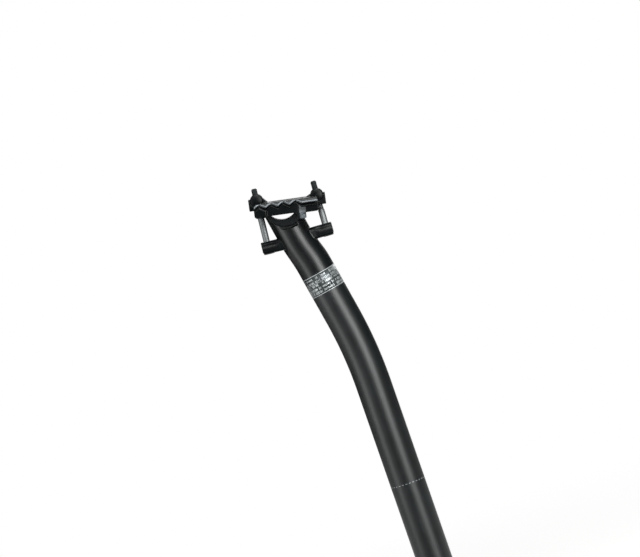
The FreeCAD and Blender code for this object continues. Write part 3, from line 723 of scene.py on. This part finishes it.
@dataclass
class Post:
    """The bent tube with its forged head, and the prints on the tube. Sizes in mm."""

    layout: Layout
    finishes: Finishes
    wall: float = 2.2
    rim_bevel: float = 0.4
    split_below: float = 65.0
    path_points: int = 150
    round_points: int = 128
    voxel: float = 0.36
    smooth_passes: int = 6
    # The barrel draws in and back between two places below the head's foot
    draw_start: float = 50.0
    draw_end: float = 26.0
    draw_radius: float = 0.4
    draw_back: float = 1.9
    # Points nearer the barrel's surface than the first distance are put back on it, none past the second
    barrel_catch: Pair = (0.12, 0.3)
    # The upper half of the ears' sides leans in; heights are above the bolt's pivot
    ear_reach: float = 14.0
    ear_heights: Pair = (-4.0, 8.0)
    ear_flank: Pair = (5.1, 6.9)
    ear_lean_from: float = 1.9
    ear_lean: float = 0.44
    ear_lean_blend: float = 0.6
    # Distances from the barrel's middle over which the lean sets in
    ear_clear: Pair = (12.0, 19.0)
    # Distance from the barrel's axis past which the ears begin
    skin_from: float = 14.6
    # How far the print's face stands out of the tube; a real print is thinner still
    print_height: float = 0.04
    film_thickness: float = 0.1
    band_height: float = 15.8
    band_edge: float = 0.6
    band_middle: float = 0.3
    band_rows: int = 5
    row_pitch: float = 2.75
    bars_in_row: int = 74
    bar_size: Pair = (0.95, 2.0)
    # The least and the most of a bar's size, and the share of the bars that aren't left out
    bar_least: tuple[float, float, float] = (1.0, 0.4, 0.4)
    bar_most: tuple[float, float, float] = (1.0, 1.15, 1.1)
    bars_shown: float = 0.8
    # The sizes draw from seeds this far above those that leave bars out
    size_seeds: int = 50
    ground_thickness: float = 0.05
    ground_lift: float = 0.01
    ground_margin: float = 0.4
    # Height marks: ticks from the first height on, one each step, and dashes at the least insertion
    tick_first: float = 30.0
    tick_step: float = 10.0
    tick_count: int = 9
    tick_size: Pair = (3.2, 0.35)
    etch_depth: float = 0.08
    etch_height: float = 0.02
    dash_height: float = 118.0
    dash_count: int = 30
    dash_size: Pair = (1.3, 0.5)

    @property
    def seam(self) -> Vector:
        """The middle of the seam between tube and head, which the band covers."""
        return self.layout.foot - self.layout.upper_up * self.split_below * MM

    def tube(self) -> Object:
        """Sweeps the tube along its straight, its bend and its upper straight."""
        at = self.layout
        recipe = Recipe("bent_tube", {
            "Straight": at.straight, "Bend radius": at.bend_radius, "Bend angle": at.bend_angle,
            "Upper run": at.upper_length - self.split_below * MM, "Radius": at.radius,
        })
        add, given = recipe.add, recipe.given
        straight, bend, angle = given["Straight"], given["Bend radius"], given["Bend angle"]
        bend_run = add(MATH, {0: bend, 1: angle}, operation="MULTIPLY")
        lower_run = add(MATH, {0: straight, 1: bend_run}, operation="ADD")
        total = add(MATH, {0: lower_run, 1: given["Upper run"]}, operation="ADD")
        line = add("GeometryNodeMeshLine", {"Count": self.path_points, "Offset": add(COMBINE, {"Z": total})},
                   mode="END_POINTS")
        # Each point's way along the tube, split into straight, turn and what lies beyond the bend
        run = add(SEPARATE, {0: add("GeometryNodeInputPosition")}, "Z")
        rest = add(MATH, {0: run, 1: straight}, operation="SUBTRACT")
        past = add(MATH, {0: rest, 1: 0.0}, operation="MAXIMUM")
        whole_turn = add(MATH, {0: past, 1: bend}, operation="DIVIDE")
        turn = add(MATH, {0: whole_turn, 1: angle}, operation="MINIMUM")
        after_bend = add(MATH, {0: past, 1: bend_run}, operation="SUBTRACT")
        beyond = add(MATH, {0: after_bend, 1: 0.0}, operation="MAXIMUM")
        sine = add(MATH, {0: turn}, operation="SINE")
        cosine = add(MATH, {0: turn}, operation="COSINE")
        # x = bend (cosine - 1) - beyond sine, and z = lower + bend sine + beyond cosine
        swing = add(MATH, {0: cosine, 1: 1.0}, operation="SUBTRACT")
        setback = add(MATH, {0: bend, 1: swing}, operation="MULTIPLY")
        lean = add(MATH, {0: beyond, 1: sine}, operation="MULTIPLY")
        x = add(MATH, {0: setback, 1: lean}, operation="SUBTRACT")
        lower = add(MATH, {0: run, 1: straight}, operation="MINIMUM")
        climb = add(MATH, {0: bend, 1: sine, 2: lower}, operation="MULTIPLY_ADD")
        z = add(MATH, {0: beyond, 1: cosine, 2: climb}, operation="MULTIPLY_ADD")
        where = add(COMBINE, {"X": x, "Z": z})
        path = add("GeometryNodeMeshToCurve", {
            0: add("GeometryNodeSetPosition", {"Geometry": line, "Position": where}),
        })
        ring = add("GeometryNodeCurvePrimitiveCircle", {
            "Resolution": self.round_points, "Radius": given["Radius"],
        })
        skin = add("GeometryNodeCurveToMesh", {"Curve": path, "Profile Curve": ring})
        piece = recipe.finish([skin], self.finishes.tube, Matrix.Identity(4), "post_tube")
        thick = piece.modifiers.new("wall", "SOLIDIFY")
        thick.thickness = self.wall * MM
        thick.offset = -1.0
        thick.use_even_offset = True
        edge = piece.modifiers.new("rim", "BEVEL")
        edge.width = self.rim_bevel * MM
        edge.segments = 3
        edge.limit_method = "ANGLE"
        edge.angle_limit = math.radians(60)
        piece = bake_modifiers(piece)
        shade_smooth(piece)
        return piece

    def head(self, node: Object) -> Object:
        """Cuts the forged head off the CAD post under the band, and softens it."""
        piece = sound_copy(node, "post_head")
        keep_above(piece, self.seam, self.layout.upper_up)
        piece = soften(piece, self.voxel, self.smooth_passes)
        self.true_up(piece)
        self.lean_ears(piece)
        dress(piece, self.finishes.forging)
        self.skin_ears(piece)
        return piece

    def true_up(self, piece: Object) -> None:
        """Puts the head's barrel back on its exact surface after smoothing, and rounds off its two kinks."""
        at = self.layout
        back = LEFT.cross(at.upper_up) * self.draw_back * MM
        for vertex in piece.data.vertices:
            arm = vertex.co - at.foot
            below = -arm.dot(at.upper_up)
            drawn_in = share(self.draw_start, self.draw_end, below / MM)
            radius = at.radius - self.draw_radius * drawn_in * MM
            out = arm + at.upper_up * below + back * drawn_in
            on_barrel = 1 - ease(*self.barrel_catch, abs(out.length - radius) / MM)
            eased = ease(0.0, 1.0, drawn_in) - drawn_in
            target = out.normalized() * (radius - self.draw_radius * eased * MM)
            vertex.co += (target - out - back * eased) * on_barrel

    def lean_ears(self, piece: Object) -> None:
        """Leans in the upper half of both ears' sides, the draft that a forging die needs."""
        at = self.layout
        forward = at.upper_up.cross(LEFT)
        low, high = self.ear_heights
        for end in End:
            to_ear = upright(at.pivot[end], at.bolt_up[end]).inverted()
            for vertex in piece.data.vertices:
                spot = to_ear @ vertex.co / MM
                if abs(spot.x) > self.ear_reach or not low < spot.z < high:
                    continue
                over = spot.z - self.ear_lean_from
                lean = self.ear_lean * (math.hypot(over, self.ear_lean_blend) + over) / 2
                clear = ease(*self.ear_clear, abs((vertex.co - at.foot).dot(forward)) / MM)
                flank = ease(*self.ear_flank, abs(spot.y))
                vertex.co.y -= math.copysign(lean * clear * flank * MM, spot.y)

    def skin_ears(self, piece: Object) -> None:
        """Gives the faces that stand out from the head's barrel the ears' matt skin."""
        at = self.layout
        piece.data.materials.append(self.finishes.skin)
        for face in piece.data.polygons:
            out = (face.center - at.foot).cross(at.upper_up).length / MM
            face.material_index = int(out > self.skin_from)

    def marks_round(self, recipe: Recipe, count: int, height: float, size: Sequence[float],
                    links: dict[Any, Any] | None = None) -> NodeSocket:
        """Stamps one mark many times round the tube at a height.

        Args:
            recipe: the tree that grows.
            count: number of places round the tube.
            height: the marks' height.
            size: a mark's depth, width and height.
            links: more inputs of the node that places the marks.

        Returns:
            The marks.
        """
        circle = recipe.add("GeometryNodeMeshCircle", {"Vertices": count, "Radius": recipe.given["Radius"]})
        level = recipe.add("GeometryNodeTransform", {
            "Geometry": circle, "Translation": Vector((0, 0, height * MM)),
        })
        index = recipe.add("GeometryNodeInputIndex")
        turn = recipe.add(MATH, {0: index, 1: math.tau / count}, operation="MULTIPLY")
        return recipe.add("GeometryNodeInstanceOnPoints", {
            "Points": level,
            "Instance": recipe.add("GeometryNodeMeshCube", {"Size": Vector(size) * MM}),
            "Rotation": recipe.add(COMBINE, {"Z": turn}),
            **(links or {}),
        })

    def row_of_bars(self, recipe: Recipe, height: float, seed: int) -> NodeSocket:
        """Adds one ring of short printed bars at a height in the band, some longer, some left out."""
        shown = recipe.add("FunctionNodeRandomValue", {
            "Probability": self.bars_shown, "Seed": seed,
        }, 3, data_type="BOOLEAN")
        scale = recipe.add("FunctionNodeRandomValue", {
            0: self.bar_least, 1: self.bar_most, "Seed": seed + self.size_seeds,
        }, data_type="FLOAT_VECTOR")
        size = (self.film_thickness, *self.bar_size)
        return self.marks_round(recipe, self.bars_in_row, height, size, {"Selection": shown, "Scale": scale})

    def line_round(self, recipe: Recipe, height: float, width: float, thickness: float) -> NodeSocket:
        """Adds a thin printed line round the tube at a height."""
        circle = recipe.add("GeometryNodeCurvePrimitiveCircle", {
            "Resolution": self.round_points, "Radius": recipe.given["Radius"],
        })
        level = recipe.add("GeometryNodeTransform", {
            "Geometry": circle, "Translation": Vector((0, 0, height * MM)),
        })
        edge = recipe.add("GeometryNodeCurvePrimitiveQuadrilateral", {
            "Width": thickness * MM, "Height": width * MM,
        })
        return recipe.add("GeometryNodeCurveToMesh", {"Curve": level, "Profile Curve": edge})

    def band(self) -> Object:
        """Prints the silver band round the upper tube: two edge lines and rows of plain short bars."""
        at = self.layout
        thick = self.film_thickness
        recipe = Recipe("printed_band", {"Radius": at.radius + (self.print_height - thick / 2) * MM})
        edge = (self.band_height - self.band_edge) / 2
        lines = ((edge, self.band_edge), (-edge, self.band_edge), (self.row_pitch / 2, self.band_middle))
        parts = [self.line_round(recipe, height, width, thick) for height, width in lines]
        for row in range(self.band_rows):
            parts.append(self.row_of_bars(recipe, (row - self.band_rows // 2) * self.row_pitch, row + 1))
        return recipe.finish(parts, self.finishes.film, upright(self.seam, at.upper_up), "silver_band_print")

    def ground(self) -> Object:
        """Lays the thin grey film under the band's bars, which hides the seam between tube and head."""
        at = self.layout
        recipe = Recipe("band_ground", {"Radius": at.radius + self.ground_lift * MM})
        film = self.line_round(recipe, 0.0, self.band_height - self.ground_margin, self.ground_thickness)
        return recipe.finish([film], self.finishes.ink, upright(self.seam, at.upper_up), "silver_band_ground")

    def height_marks(self) -> Object:
        """Etches plain ticks up the back of the straight tube, and a dashed line for the least insertion."""
        recipe = Recipe("height_marks", {
            "Radius": self.layout.radius + (self.etch_height - self.etch_depth / 2) * MM,
            "First": self.tick_first * MM,
            "Step": self.tick_step * MM,
        })
        add, given = recipe.add, recipe.given
        back = add(MATH, {0: given["Radius"], 1: -1.0}, operation="MULTIPLY")
        ladder = add("GeometryNodeMeshLine", {
            "Count": self.tick_count,
            "Start Location": add(COMBINE, {"X": back, "Z": given["First"]}),
            "Offset": add(COMBINE, {"Z": given["Step"]}),
        })
        tick = add("GeometryNodeMeshCube", {"Size": Vector((self.etch_depth, *self.tick_size)) * MM})
        ticks = add("GeometryNodeInstanceOnPoints", {"Points": ladder, "Instance": tick})
        size = (self.etch_depth, *self.dash_size)
        dashes = self.marks_round(recipe, self.dash_count, self.dash_height, size)
        return recipe.finish([ticks, dashes], self.finishes.etch, Matrix.Identity(4), "height_marks")

    def build(self, nodes: dict[str, Object]) -> None:
        """Builds all of the post and puts it on its body."""
        place_piece(self.tube(), "post", ("post",))
        place_piece(self.head(nodes["post"]), "post", ("post",))
        for piece in (self.ground(), self.band(), self.height_marks()):
            place_piece(piece, "post")


@dataclass
class RailClamp:
    """The lower cradle and the upper clamp over it. Sizes in mm, in the clamp's frame."""

    layout: Layout
    finishes: Finishes
    voxel: float = 0.34
    smooth_passes: int = 4
    tooth_pitch: float = 9.2
    tooth_height: float = 3.0
    # The line is toothed between these places, counted in teeth from the tilt centre
    toothed: Pair = (-2.5, 1.5)
    jaw_outer: float = 27.5
    # Points as far inside the outer face as the first distance stay, nearer than the second they move fully
    cradle_skin: Pair = (1.6, 0.2)
    clamp_skin: Pair = (1.7, 0.3)
    # The wing's outer face: a sunk panel, then a rib whose front side slopes away
    panel: Pair = (-12.8, 11.2)
    panel_ramps: Pair = (1.2, 0.9)
    panel_depth: float = 1.0
    # Heights over the toothed line between which the panel's depth fades to nothing
    tooth_margin: Pair = (-1.9, -1.3)
    rib_end: float = 16.5
    rib_fall: float = 1.4
    # The gussets under the wings slope away in front
    gusset_from: float = 11.0
    gusset_top: float = -6.4
    gusset_side: float = 16.2
    gusset_fall: float = 1.9
    # The wing's underside rises a little over the window
    wing_inner: float = 16.0
    underside: Pair = (-6.0, -4.9)
    underside_rear: Pair = (-11.5, -9.5)
    underside_front: Pair = (7.0, 9.0)
    underside_lift: float = 0.8
    # The upper clamp's outer face leans in from its teeth to its top
    draft: float = 1.4
    draft_low: float = 0.9
    draft_high: float = 4.4
    # The front slot's outer wall, which the bolt leans towards at full tilt: its place and its height
    slot_wall: Pair = (29.8, -1.2)
    # From its middle the wall is pressed back fully as far as the first distance, and not past the second
    slot_along: Pair = (0.9, 1.6)
    slot_up: Pair = (1.8, 3.0)
    slot_across: Pair = (2.2, 3.2)
    slot_room: float = 0.3

    def tooth_line(self, x: float) -> float:
        """Gives the height of the toothed parting line at a place along the grooves."""
        place = x / self.tooth_pitch
        first, last = self.toothed
        if not first < place < last:
            return 0.0
        off_peak = abs(place - round(place)) * 2
        return self.tooth_height * (1 - off_peak)

    def relief(self, x: float) -> float:
        """Gives how deep the wing's outer face lies at a place along the grooves."""
        first, last = self.panel
        if x >= last:
            return self.rib_fall * share(last, self.rib_end, x)
        rear, front = self.panel_ramps
        return self.panel_depth * ease(first - rear, first, x) * (1 - ease(last - front, last, x))

    def outer(self, spot: Vector, skin: Pair) -> float:
        """Gives 1 on a jaw's outer faces and 0 inside them."""
        return ease(self.jaw_outer - skin[0], self.jaw_outer - skin[1], abs(spot.y))

    def sink_panel(self, piece: Object) -> None:
        """Presses the panel and the rib into the wings' outer faces, and slopes the gussets under them."""
        for vertex, spot in spots(piece):
            aside = abs(spot.y)
            under_teeth = 1 - ease(*self.tooth_margin, spot.z - self.tooth_line(spot.x))
            amount = self.relief(spot.x) * self.outer(spot, self.cradle_skin) * under_teeth
            if spot.z < self.gusset_top and aside > self.gusset_side:
                amount = self.gusset_fall * share(self.gusset_from, self.rib_end, spot.x)
            vertex.co.y -= math.copysign(amount * MM, spot.y)
            if aside > self.wing_inner:
                along = ease(*self.underside_rear, spot.x) * (1 - ease(*self.underside_front, spot.x))
                vertex.co.z += self.underside_lift * (1 - ease(*self.underside, spot.z)) * along * MM

    def lean_faces(self, piece: Object) -> None:
        """Leans the upper clamp's outer faces in from their teeth to their top."""
        for vertex, spot in spots(piece):
            up = share(self.draft_low, self.draft_high, spot.z)
            lean = self.draft * up * self.outer(spot, self.clamp_skin)
            vertex.co.y -= math.copysign(lean * MM, spot.y)

    def clear_slot(self, piece: Object) -> None:
        """Presses the front slot's outer wall back a little, so that the tilted bolt clears it."""
        along, height = self.slot_wall
        for vertex, spot in spots(piece):
            near = 1 - ease(*self.slot_along, abs(spot.x - along))
            near *= 1 - ease(*self.slot_up, abs(spot.z - height))
            near *= 1 - ease(*self.slot_across, abs(spot.y))
            vertex.co.x += self.slot_room * near * MM

    def jaw(self, node: Object, name: str, steps: Sequence[Callable[[Object], None]]) -> Object:
        """Softens and shapes a jaw while it lies square to the axes, so that its edges stay straight.

        Args:
            node: the jaw's CAD node.
            name: the piece's name.
            steps: what shapes it, in this order.

        Returns:
            The jaw in its place.
        """
        piece = sound_copy(node, name)
        piece.data.transform(self.layout.clamp_frame.inverted())
        piece = soften(piece, self.voxel, self.smooth_passes)
        for step in steps:
            step(piece)
        piece.data.transform(self.layout.clamp_frame)
        return piece

    def build(self, nodes: dict[str, Object]) -> None:
        """Builds both jaws and puts each on its body."""
        for body, name, finish, steps in (
            ("lower_cradle", "cradle_forging", self.finishes.cradle, (self.sink_panel,)),
            ("upper_clamp", "clamp_forging", self.finishes.clamp, (self.lean_faces, self.clear_slot)),
        ):
            piece = self.jaw(nodes[body], name, steps)
            dress(piece, finish)
            place_piece(piece, body, (body,))


class Coat(IntEnum):
    """A bolt's finishes, in the order of its materials."""

    SHANK = 0
    HEAD = 1
    THREAD = 2


class Ring(NamedTuple):
    """One ring of a bolt's profile, with the coat of the faces that lead to it. Sizes in mm."""

    radius: float
    height: float
    coat: Coat = Coat.HEAD
    hexagon: bool = False


@dataclass
class Bolt:
    """One cap screw: black head with a hexagon socket, bright shank, rolled thread. Sizes in mm."""

    end: End
    layout: Layout
    finishes: Finishes
    head_low: float = -3.0
    head_top: float = 2.0
    head_radius: float = 4.25
    # Steps of the head's rounded edge: how far in from its side, and how far up
    head_round: tuple[Pair, ...] = ((0.75, 0.0), (0.3, 0.12), (0.05, 0.4), (0.0, 0.8))
    # The key's hexagon is measured to its flats
    key_radius: float = 2.0
    key_depth: float = 2.5
    key_point: float = 2.9
    shank_radius: float = 2.5
    root_radius: float = 2.06
    crest_radius: float = 2.44
    # How deep the ridge's foot is sunk in the root, and how far it keeps from the thread's start and its tip
    ridge_sunk: float = 0.05
    ridge_ends: Pair = (0.8, 0.9)
    thread_below_nut: float = 12.0
    pitch: float = 0.8
    sides: int = 48
    # Points in one turn of the thread
    turn_points: int = 28

    def __post_init__(self) -> None:
        """Finds where the thread starts and ends, above the pivot."""
        span = (self.layout.nut[self.end] - self.layout.pivot[self.end]).length / MM
        self.start = span - self.thread_below_nut
        self.tip = span + PAST_NUT[self.end]

    def profile(self) -> list[Ring]:
        """Gives the rings from the socket's floor over the head and up the shank to the tip."""
        low, top, wide, key = self.head_low, self.head_top, self.head_radius, self.key_radius
        shank, root, start, tip = self.shank_radius, self.root_radius, self.start, self.tip
        # The small steps beside the named sizes are the chamfers of socket, head, shank and tip
        socket = ((key, low + self.key_depth), (key, low + 0.15), (key + 0.2, low))
        return [
            *(Ring(radius, height, Coat.HEAD, True) for radius, height in socket),
            *(Ring(wide - inset, low + rise) for inset, rise in self.head_round),
            Ring(wide, top - 0.3), Ring(wide - 0.2, top),
            Ring(shank + 0.3, top, Coat.SHANK), Ring(shank, top + 0.3, Coat.SHANK),
            Ring(shank, start - 0.5, Coat.SHANK), Ring(root, start + 0.6, Coat.THREAD),
            Ring(root, tip - 0.7, Coat.THREAD), Ring(root - 0.6, tip, Coat.THREAD),
        ]

    def points(self, shape: bmesh.types.BMesh, ring: Ring) -> list[bmesh.types.BMVert]:
        """Adds one ring's vertices to the growing mesh."""
        points = []
        for step in range(self.sides):
            turn = math.tau * step / self.sides
            reach = ring.radius
            if ring.hexagon:
                reach /= math.cos((turn + math.pi / 6) % (math.pi / 3) - math.pi / 6)
            spot = Vector((reach * math.cos(turn), reach * math.sin(turn), ring.height))
            points.append(shape.verts.new(spot * MM))
        return points

    def body(self) -> Object:
        """Turns head, socket, shank and thread root as one closed mesh."""
        name = f"{self.end.value}_bolt_turned"
        mesh = bpy.data.meshes.new(name)
        profile = self.profile()
        with opened(mesh) as shape:
            rings = [self.points(shape, ring) for ring in profile]
            bottom = shape.verts.new(Vector((0, 0, self.head_low + self.key_point)) * MM)
            peak = shape.verts.new(Vector((0, 0, self.tip)) * MM)
            for first, second, ring in zip(rings, rings[1:], profile[1:]):
                for step in range(self.sides):
                    after = (step + 1) % self.sides
                    face = shape.faces.new((first[step], first[after], second[after], second[step]))
                    face.material_index = ring.coat
            for points, middle, coat in ((rings[0], bottom, Coat.HEAD), (rings[-1], peak, Coat.THREAD)):
                for step in range(self.sides):
                    face = shape.faces.new((points[step], points[(step + 1) % self.sides], middle))
                    face.material_index = coat
        mesh.transform(upright(self.layout.pivot[self.end], self.layout.bolt_up[self.end]))
        finishes = self.finishes
        screw = mesh_object(name, mesh, (finishes.zinc, finishes.oxide, finishes.thread[self.end]))
        shade_smooth(screw)
        mesh.set_sharp_from_angle(angle=math.radians(40))
        return screw

    def thread(self) -> Object:
        """Winds the thread's ridge round its root."""
        after_start, before_tip = self.ridge_ends
        start = self.start + after_start
        length = self.tip - before_tip - start
        recipe = Recipe(f"{self.end.value}_thread", {
            "Root": (self.root_radius - self.ridge_sunk) * MM,
            "Length": length * MM,
            "Turns": length / self.pitch,
        })
        given = recipe.given
        spiral = recipe.add("GeometryNodeCurveSpiral", {
            "Resolution": self.turn_points, "Rotations": given["Turns"], "Start Radius": given["Root"],
            "End Radius": given["Root"], "Height": given["Length"],
        })
        # The ridge has three corners, one of them the crest
        ridge = recipe.add("GeometryNodeCurvePrimitiveCircle", {
            "Resolution": 3, "Radius": (self.crest_radius - self.root_radius + self.ridge_sunk) * MM,
        })
        swept = recipe.add("GeometryNodeCurveToMesh", {
            "Curve": spiral, "Profile Curve": ridge, "Fill Caps": True,
        })
        up = self.layout.bolt_up[self.end]
        place = upright(self.layout.pivot[self.end] + up * start * MM, up)
        return recipe.finish([swept], self.finishes.thread[self.end], place, f"{self.end.value}_bolt_thread")

    def build(self) -> None:
        """Builds the bolt and puts it on its body."""
        body = f"{self.end.value}_bolt"
        for piece in (self.body(), self.thread()):
            place_piece(piece, body, (body,))


@dataclass
class BarrelNut:
    """One turned barrel nut with crowned ends. Sizes in mm."""

    end: End
    layout: Layout
    finishes: Finishes
    voxel: float = 0.25
    smooth_passes: int = 3
    radius: float = 5.0
    crown: float = 0.95
    # Distances from the nut's middle over which the crown sets in
    crown_from: Pair = (8.0, 9.8)

    def build(self, nodes: dict[str, Object]) -> None:
        """Rounds the nut's edges, crowns its ends and puts it on its body."""
        body = f"{self.end.value}_barrel_nut"
        piece = sound_copy(nodes[body], f"{self.end.value}_nut_turned")
        piece = soften(piece, self.voxel, self.smooth_passes)
        for vertex in piece.data.vertices:
            arm = (vertex.co - self.layout.nut[self.end]) / MM
            out = math.hypot(arm.x, arm.z) / self.radius
            near_end = ease(*self.crown_from, abs(arm.y))
            vertex.co.y -= math.copysign(self.crown * out * out * near_end * MM, arm.y)
        dress(piece, self.finishes.nut[self.end])
        place_piece(piece, body, (body,))


@dataclass
class Studio:
    """Pale floor, white surroundings, soft lamps, black cards and the camera. Sizes in metres."""

    aim: Vector
    roll: float = math.radians(19.15)
    look_down: float = math.radians(2.6)
    distance: float = 3.0
    picture_width: float = 0.4896
    floor_size: float = 12.0
    floor_level: float = -0.0005
    # The floor's own light grows from the part outwards, so that the shadow shows near it
    fade: Pair = (0.1, 0.8)
    glow: Pair = (0.55, 1.0)
    room_light: float = 0.35
    matt: float = 0.9

    @property
    def right(self) -> Vector:
        """The picture's right, in the part's frame."""
        return Vector((math.cos(self.roll), 0, -math.sin(self.roll)))

    @property
    def up(self) -> Vector:
        """The picture's up before the camera looks down a little."""
        return Vector((math.sin(self.roll), 0, math.cos(self.roll)))

    def around(self, turn: float, rise: float, reach: float) -> Matrix:
        """Gives a place round the head, turned to face it.

        Args:
            turn: angle from the camera to the picture's right, in radians.
            rise: angle above the camera's level, in radians.
            reach: distance from the head.

        Returns:
            The place's matrix, whose Z points away from the head.
        """
        level = self.right * math.sin(turn) - LEFT * math.cos(turn)
        back = (level * math.cos(rise) + self.up * math.sin(rise)).normalized()
        side = self.up.cross(back).normalized()
        return placed(self.aim + back * reach, side, back.cross(side), back)

    def camera(self) -> None:
        """Makes the camera at the photograph's angle."""
        data = bpy.data.cameras.new("photo_view")
        data.sensor_width = 36.0
        data.lens = data.sensor_width * self.distance / self.picture_width
        camera = link(bpy.data.objects.new("photo_view", data))
        camera.matrix_world = self.around(0.0, self.look_down, self.distance)
        bpy.context.scene.camera = camera

    def lamp(self, name: str, turn: float, rise: float, reach: float, size: Pair, watts: float) -> None:
        """Adds one soft rectangular lamp; angles in degrees."""
        data = bpy.data.lights.new(name, "AREA")
        data.shape = "RECTANGLE"
        data.size, data.size_y = size
        data.energy = watts
        lamp = link(bpy.data.objects.new(name, data))
        lamp.visible_camera = False
        lamp.matrix_world = self.around(math.radians(turn), math.radians(rise), reach)

    def card(self, name: str, place: Matrix, size: Pair) -> None:
        """Adds a black card that only reflections see."""
        material, _, shader = new_material(name)
        wire(shader, {"Base Color": srgb("050505"), "Roughness": self.matt})
        card = mesh_object(name, rectangle(name, size, place), (material,))
        card.visible_camera = False
        card.visible_shadow = False
        card.visible_diffuse = False

    def seen(self, tree: NodeTree) -> NodeSocket:
        """Gives 1 for what the camera, a reflection or a clear piece sees, and 0 for what only lights."""
        ray = add_node(tree, "ShaderNodeLightPath").node.outputs
        direct = add_node(tree, MATH, {0: ray["Is Camera Ray"], 1: ray["Is Glossy Ray"]}, operation="MAXIMUM")
        return add_node(tree, MATH, {0: direct, 1: ray["Is Transmission Ray"]}, operation="MAXIMUM")

    def floor(self) -> None:
        """Lays the pale floor that keeps the part's shadow."""
        material, tree, shader = new_material("pale_studio_floor")
        wire(shader, {"Base Color": srgb("f4f4f3"), "Roughness": self.matt, "Specular IOR Level": 0.1})
        white = add_node(tree, "ShaderNodeEmission", {"Color": srgb("ffffff"), "Strength": 1.0})
        place = add_node(tree, "ShaderNodeTexCoord", out="Object")
        away = add_node(tree, VECTOR_MATH, {0: place}, "Value", operation="LENGTH")
        (near, far), (low, high) = self.fade, self.glow
        growth = add_node(tree, MAP_RANGE, {
            "Value": away, "From Min": near, "From Max": far, "To Min": low, "To Max": high,
        }, interpolation_type="SMOOTHSTEP")
        part = add_node(tree, MATH, {0: self.seen(tree), 1: growth}, operation="MULTIPLY")
        mix = add_node(tree, "ShaderNodeMixShader", {0: part, 1: shader.outputs[0], 2: white})
        wire(tree.nodes["Material Output"], {"Surface": mix})
        level = Matrix.Translation(Vector((0, 0, self.floor_level)))
        mesh = rectangle("floor", (self.floor_size, self.floor_size), level)
        mesh_object("floor", mesh, (material,))

    def world(self) -> None:
        """Surrounds the part with white where a picture sees it, and with a plain grey light elsewhere."""
        world = bpy.data.worlds.new("studio")
        world.use_nodes = True
        tree = world.node_tree
        room = tree.nodes["Background"]
        wire(room, {"Color": srgb("ffffff"), "Strength": self.room_light})
        white = add_node(tree, "ShaderNodeBackground", {"Color": srgb("ffffff"), "Strength": 1.0})
        mix = add_node(tree, "ShaderNodeMixShader", {0: self.seen(tree), 1: room.outputs[0], 2: white})
        wire(tree.nodes["World Output"], {"Surface": mix})
        bpy.context.scene.world = world

    def build(self) -> None:
        """Builds the studio."""
        self.world()
        self.floor()
        self.camera()
        # A tall strip lamp to the right of the camera draws the bright line up the tube
        self.lamp("strip_lamp", 30.0, 13.0, 1.3, (0.54, 0.65), 10.4)
        # A weak lamp nearer the camera grades the dark beside that line
        self.lamp("grading_lamp", 19.0, 10.0, 1.3, (0.34, 0.65), 1.2)
        # A dim narrow lamp low on the left draws the tube's second, fainter line
        self.lamp("left_lamp", -61.0, -22.0, 0.62, (0.24, 0.5), 1.1)
        self.lamp("top_lamp", 2.0, 48.0, 1.2, (0.75, 0.55), 11.5)
        self.lamp("back_lamp", 165.0, 35.0, 1.8, (1.0, 1.0), 13.0)
        # Black cards keep the faces square to the camera, and the tube's outline, dark
        self.card("camera_card", self.around(0.0, 0.0, 3.4), (3.2, 3.4))
        self.card("right_card", self.around(math.radians(99.0), 0.0, 0.9), (2.7, 3.0))
        self.card("left_card", self.around(math.radians(-128.0), 0.0, 0.9), (1.8, 2.4))
        self.card("floor_card", Matrix.Translation(Vector((0, -1.56, 0.01))), (2.4, 3.0))
        bpy.context.scene.view_settings.view_transform = "Standard"


def main() -> None:
    """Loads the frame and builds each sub-assembly round it."""
    logging.basicConfig(level=logging.INFO, format="%(message)s")
    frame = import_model()
    nodes = frame["nodes"]
    layout = Layout(frame)
    finishes = Finishes(layout)
    Post(layout, finishes).build(nodes)
    LOG.info("post built")
    RailClamp(layout, finishes).build(nodes)
    LOG.info("rail clamp built")
    for end in End:
        Bolt(end, layout, finishes).build()
        BarrelNut(end, layout, finishes).build(nodes)
        washer = nodes[f"{end.value}_barrel_washer"]
        dress(washer, finishes.washer[end])
        LOG.info("%s bolt built", end.value)
    Studio(Vector((-12.25, 0, 287.6)) * MM).build()


if __name__ == "__main__":
    main()
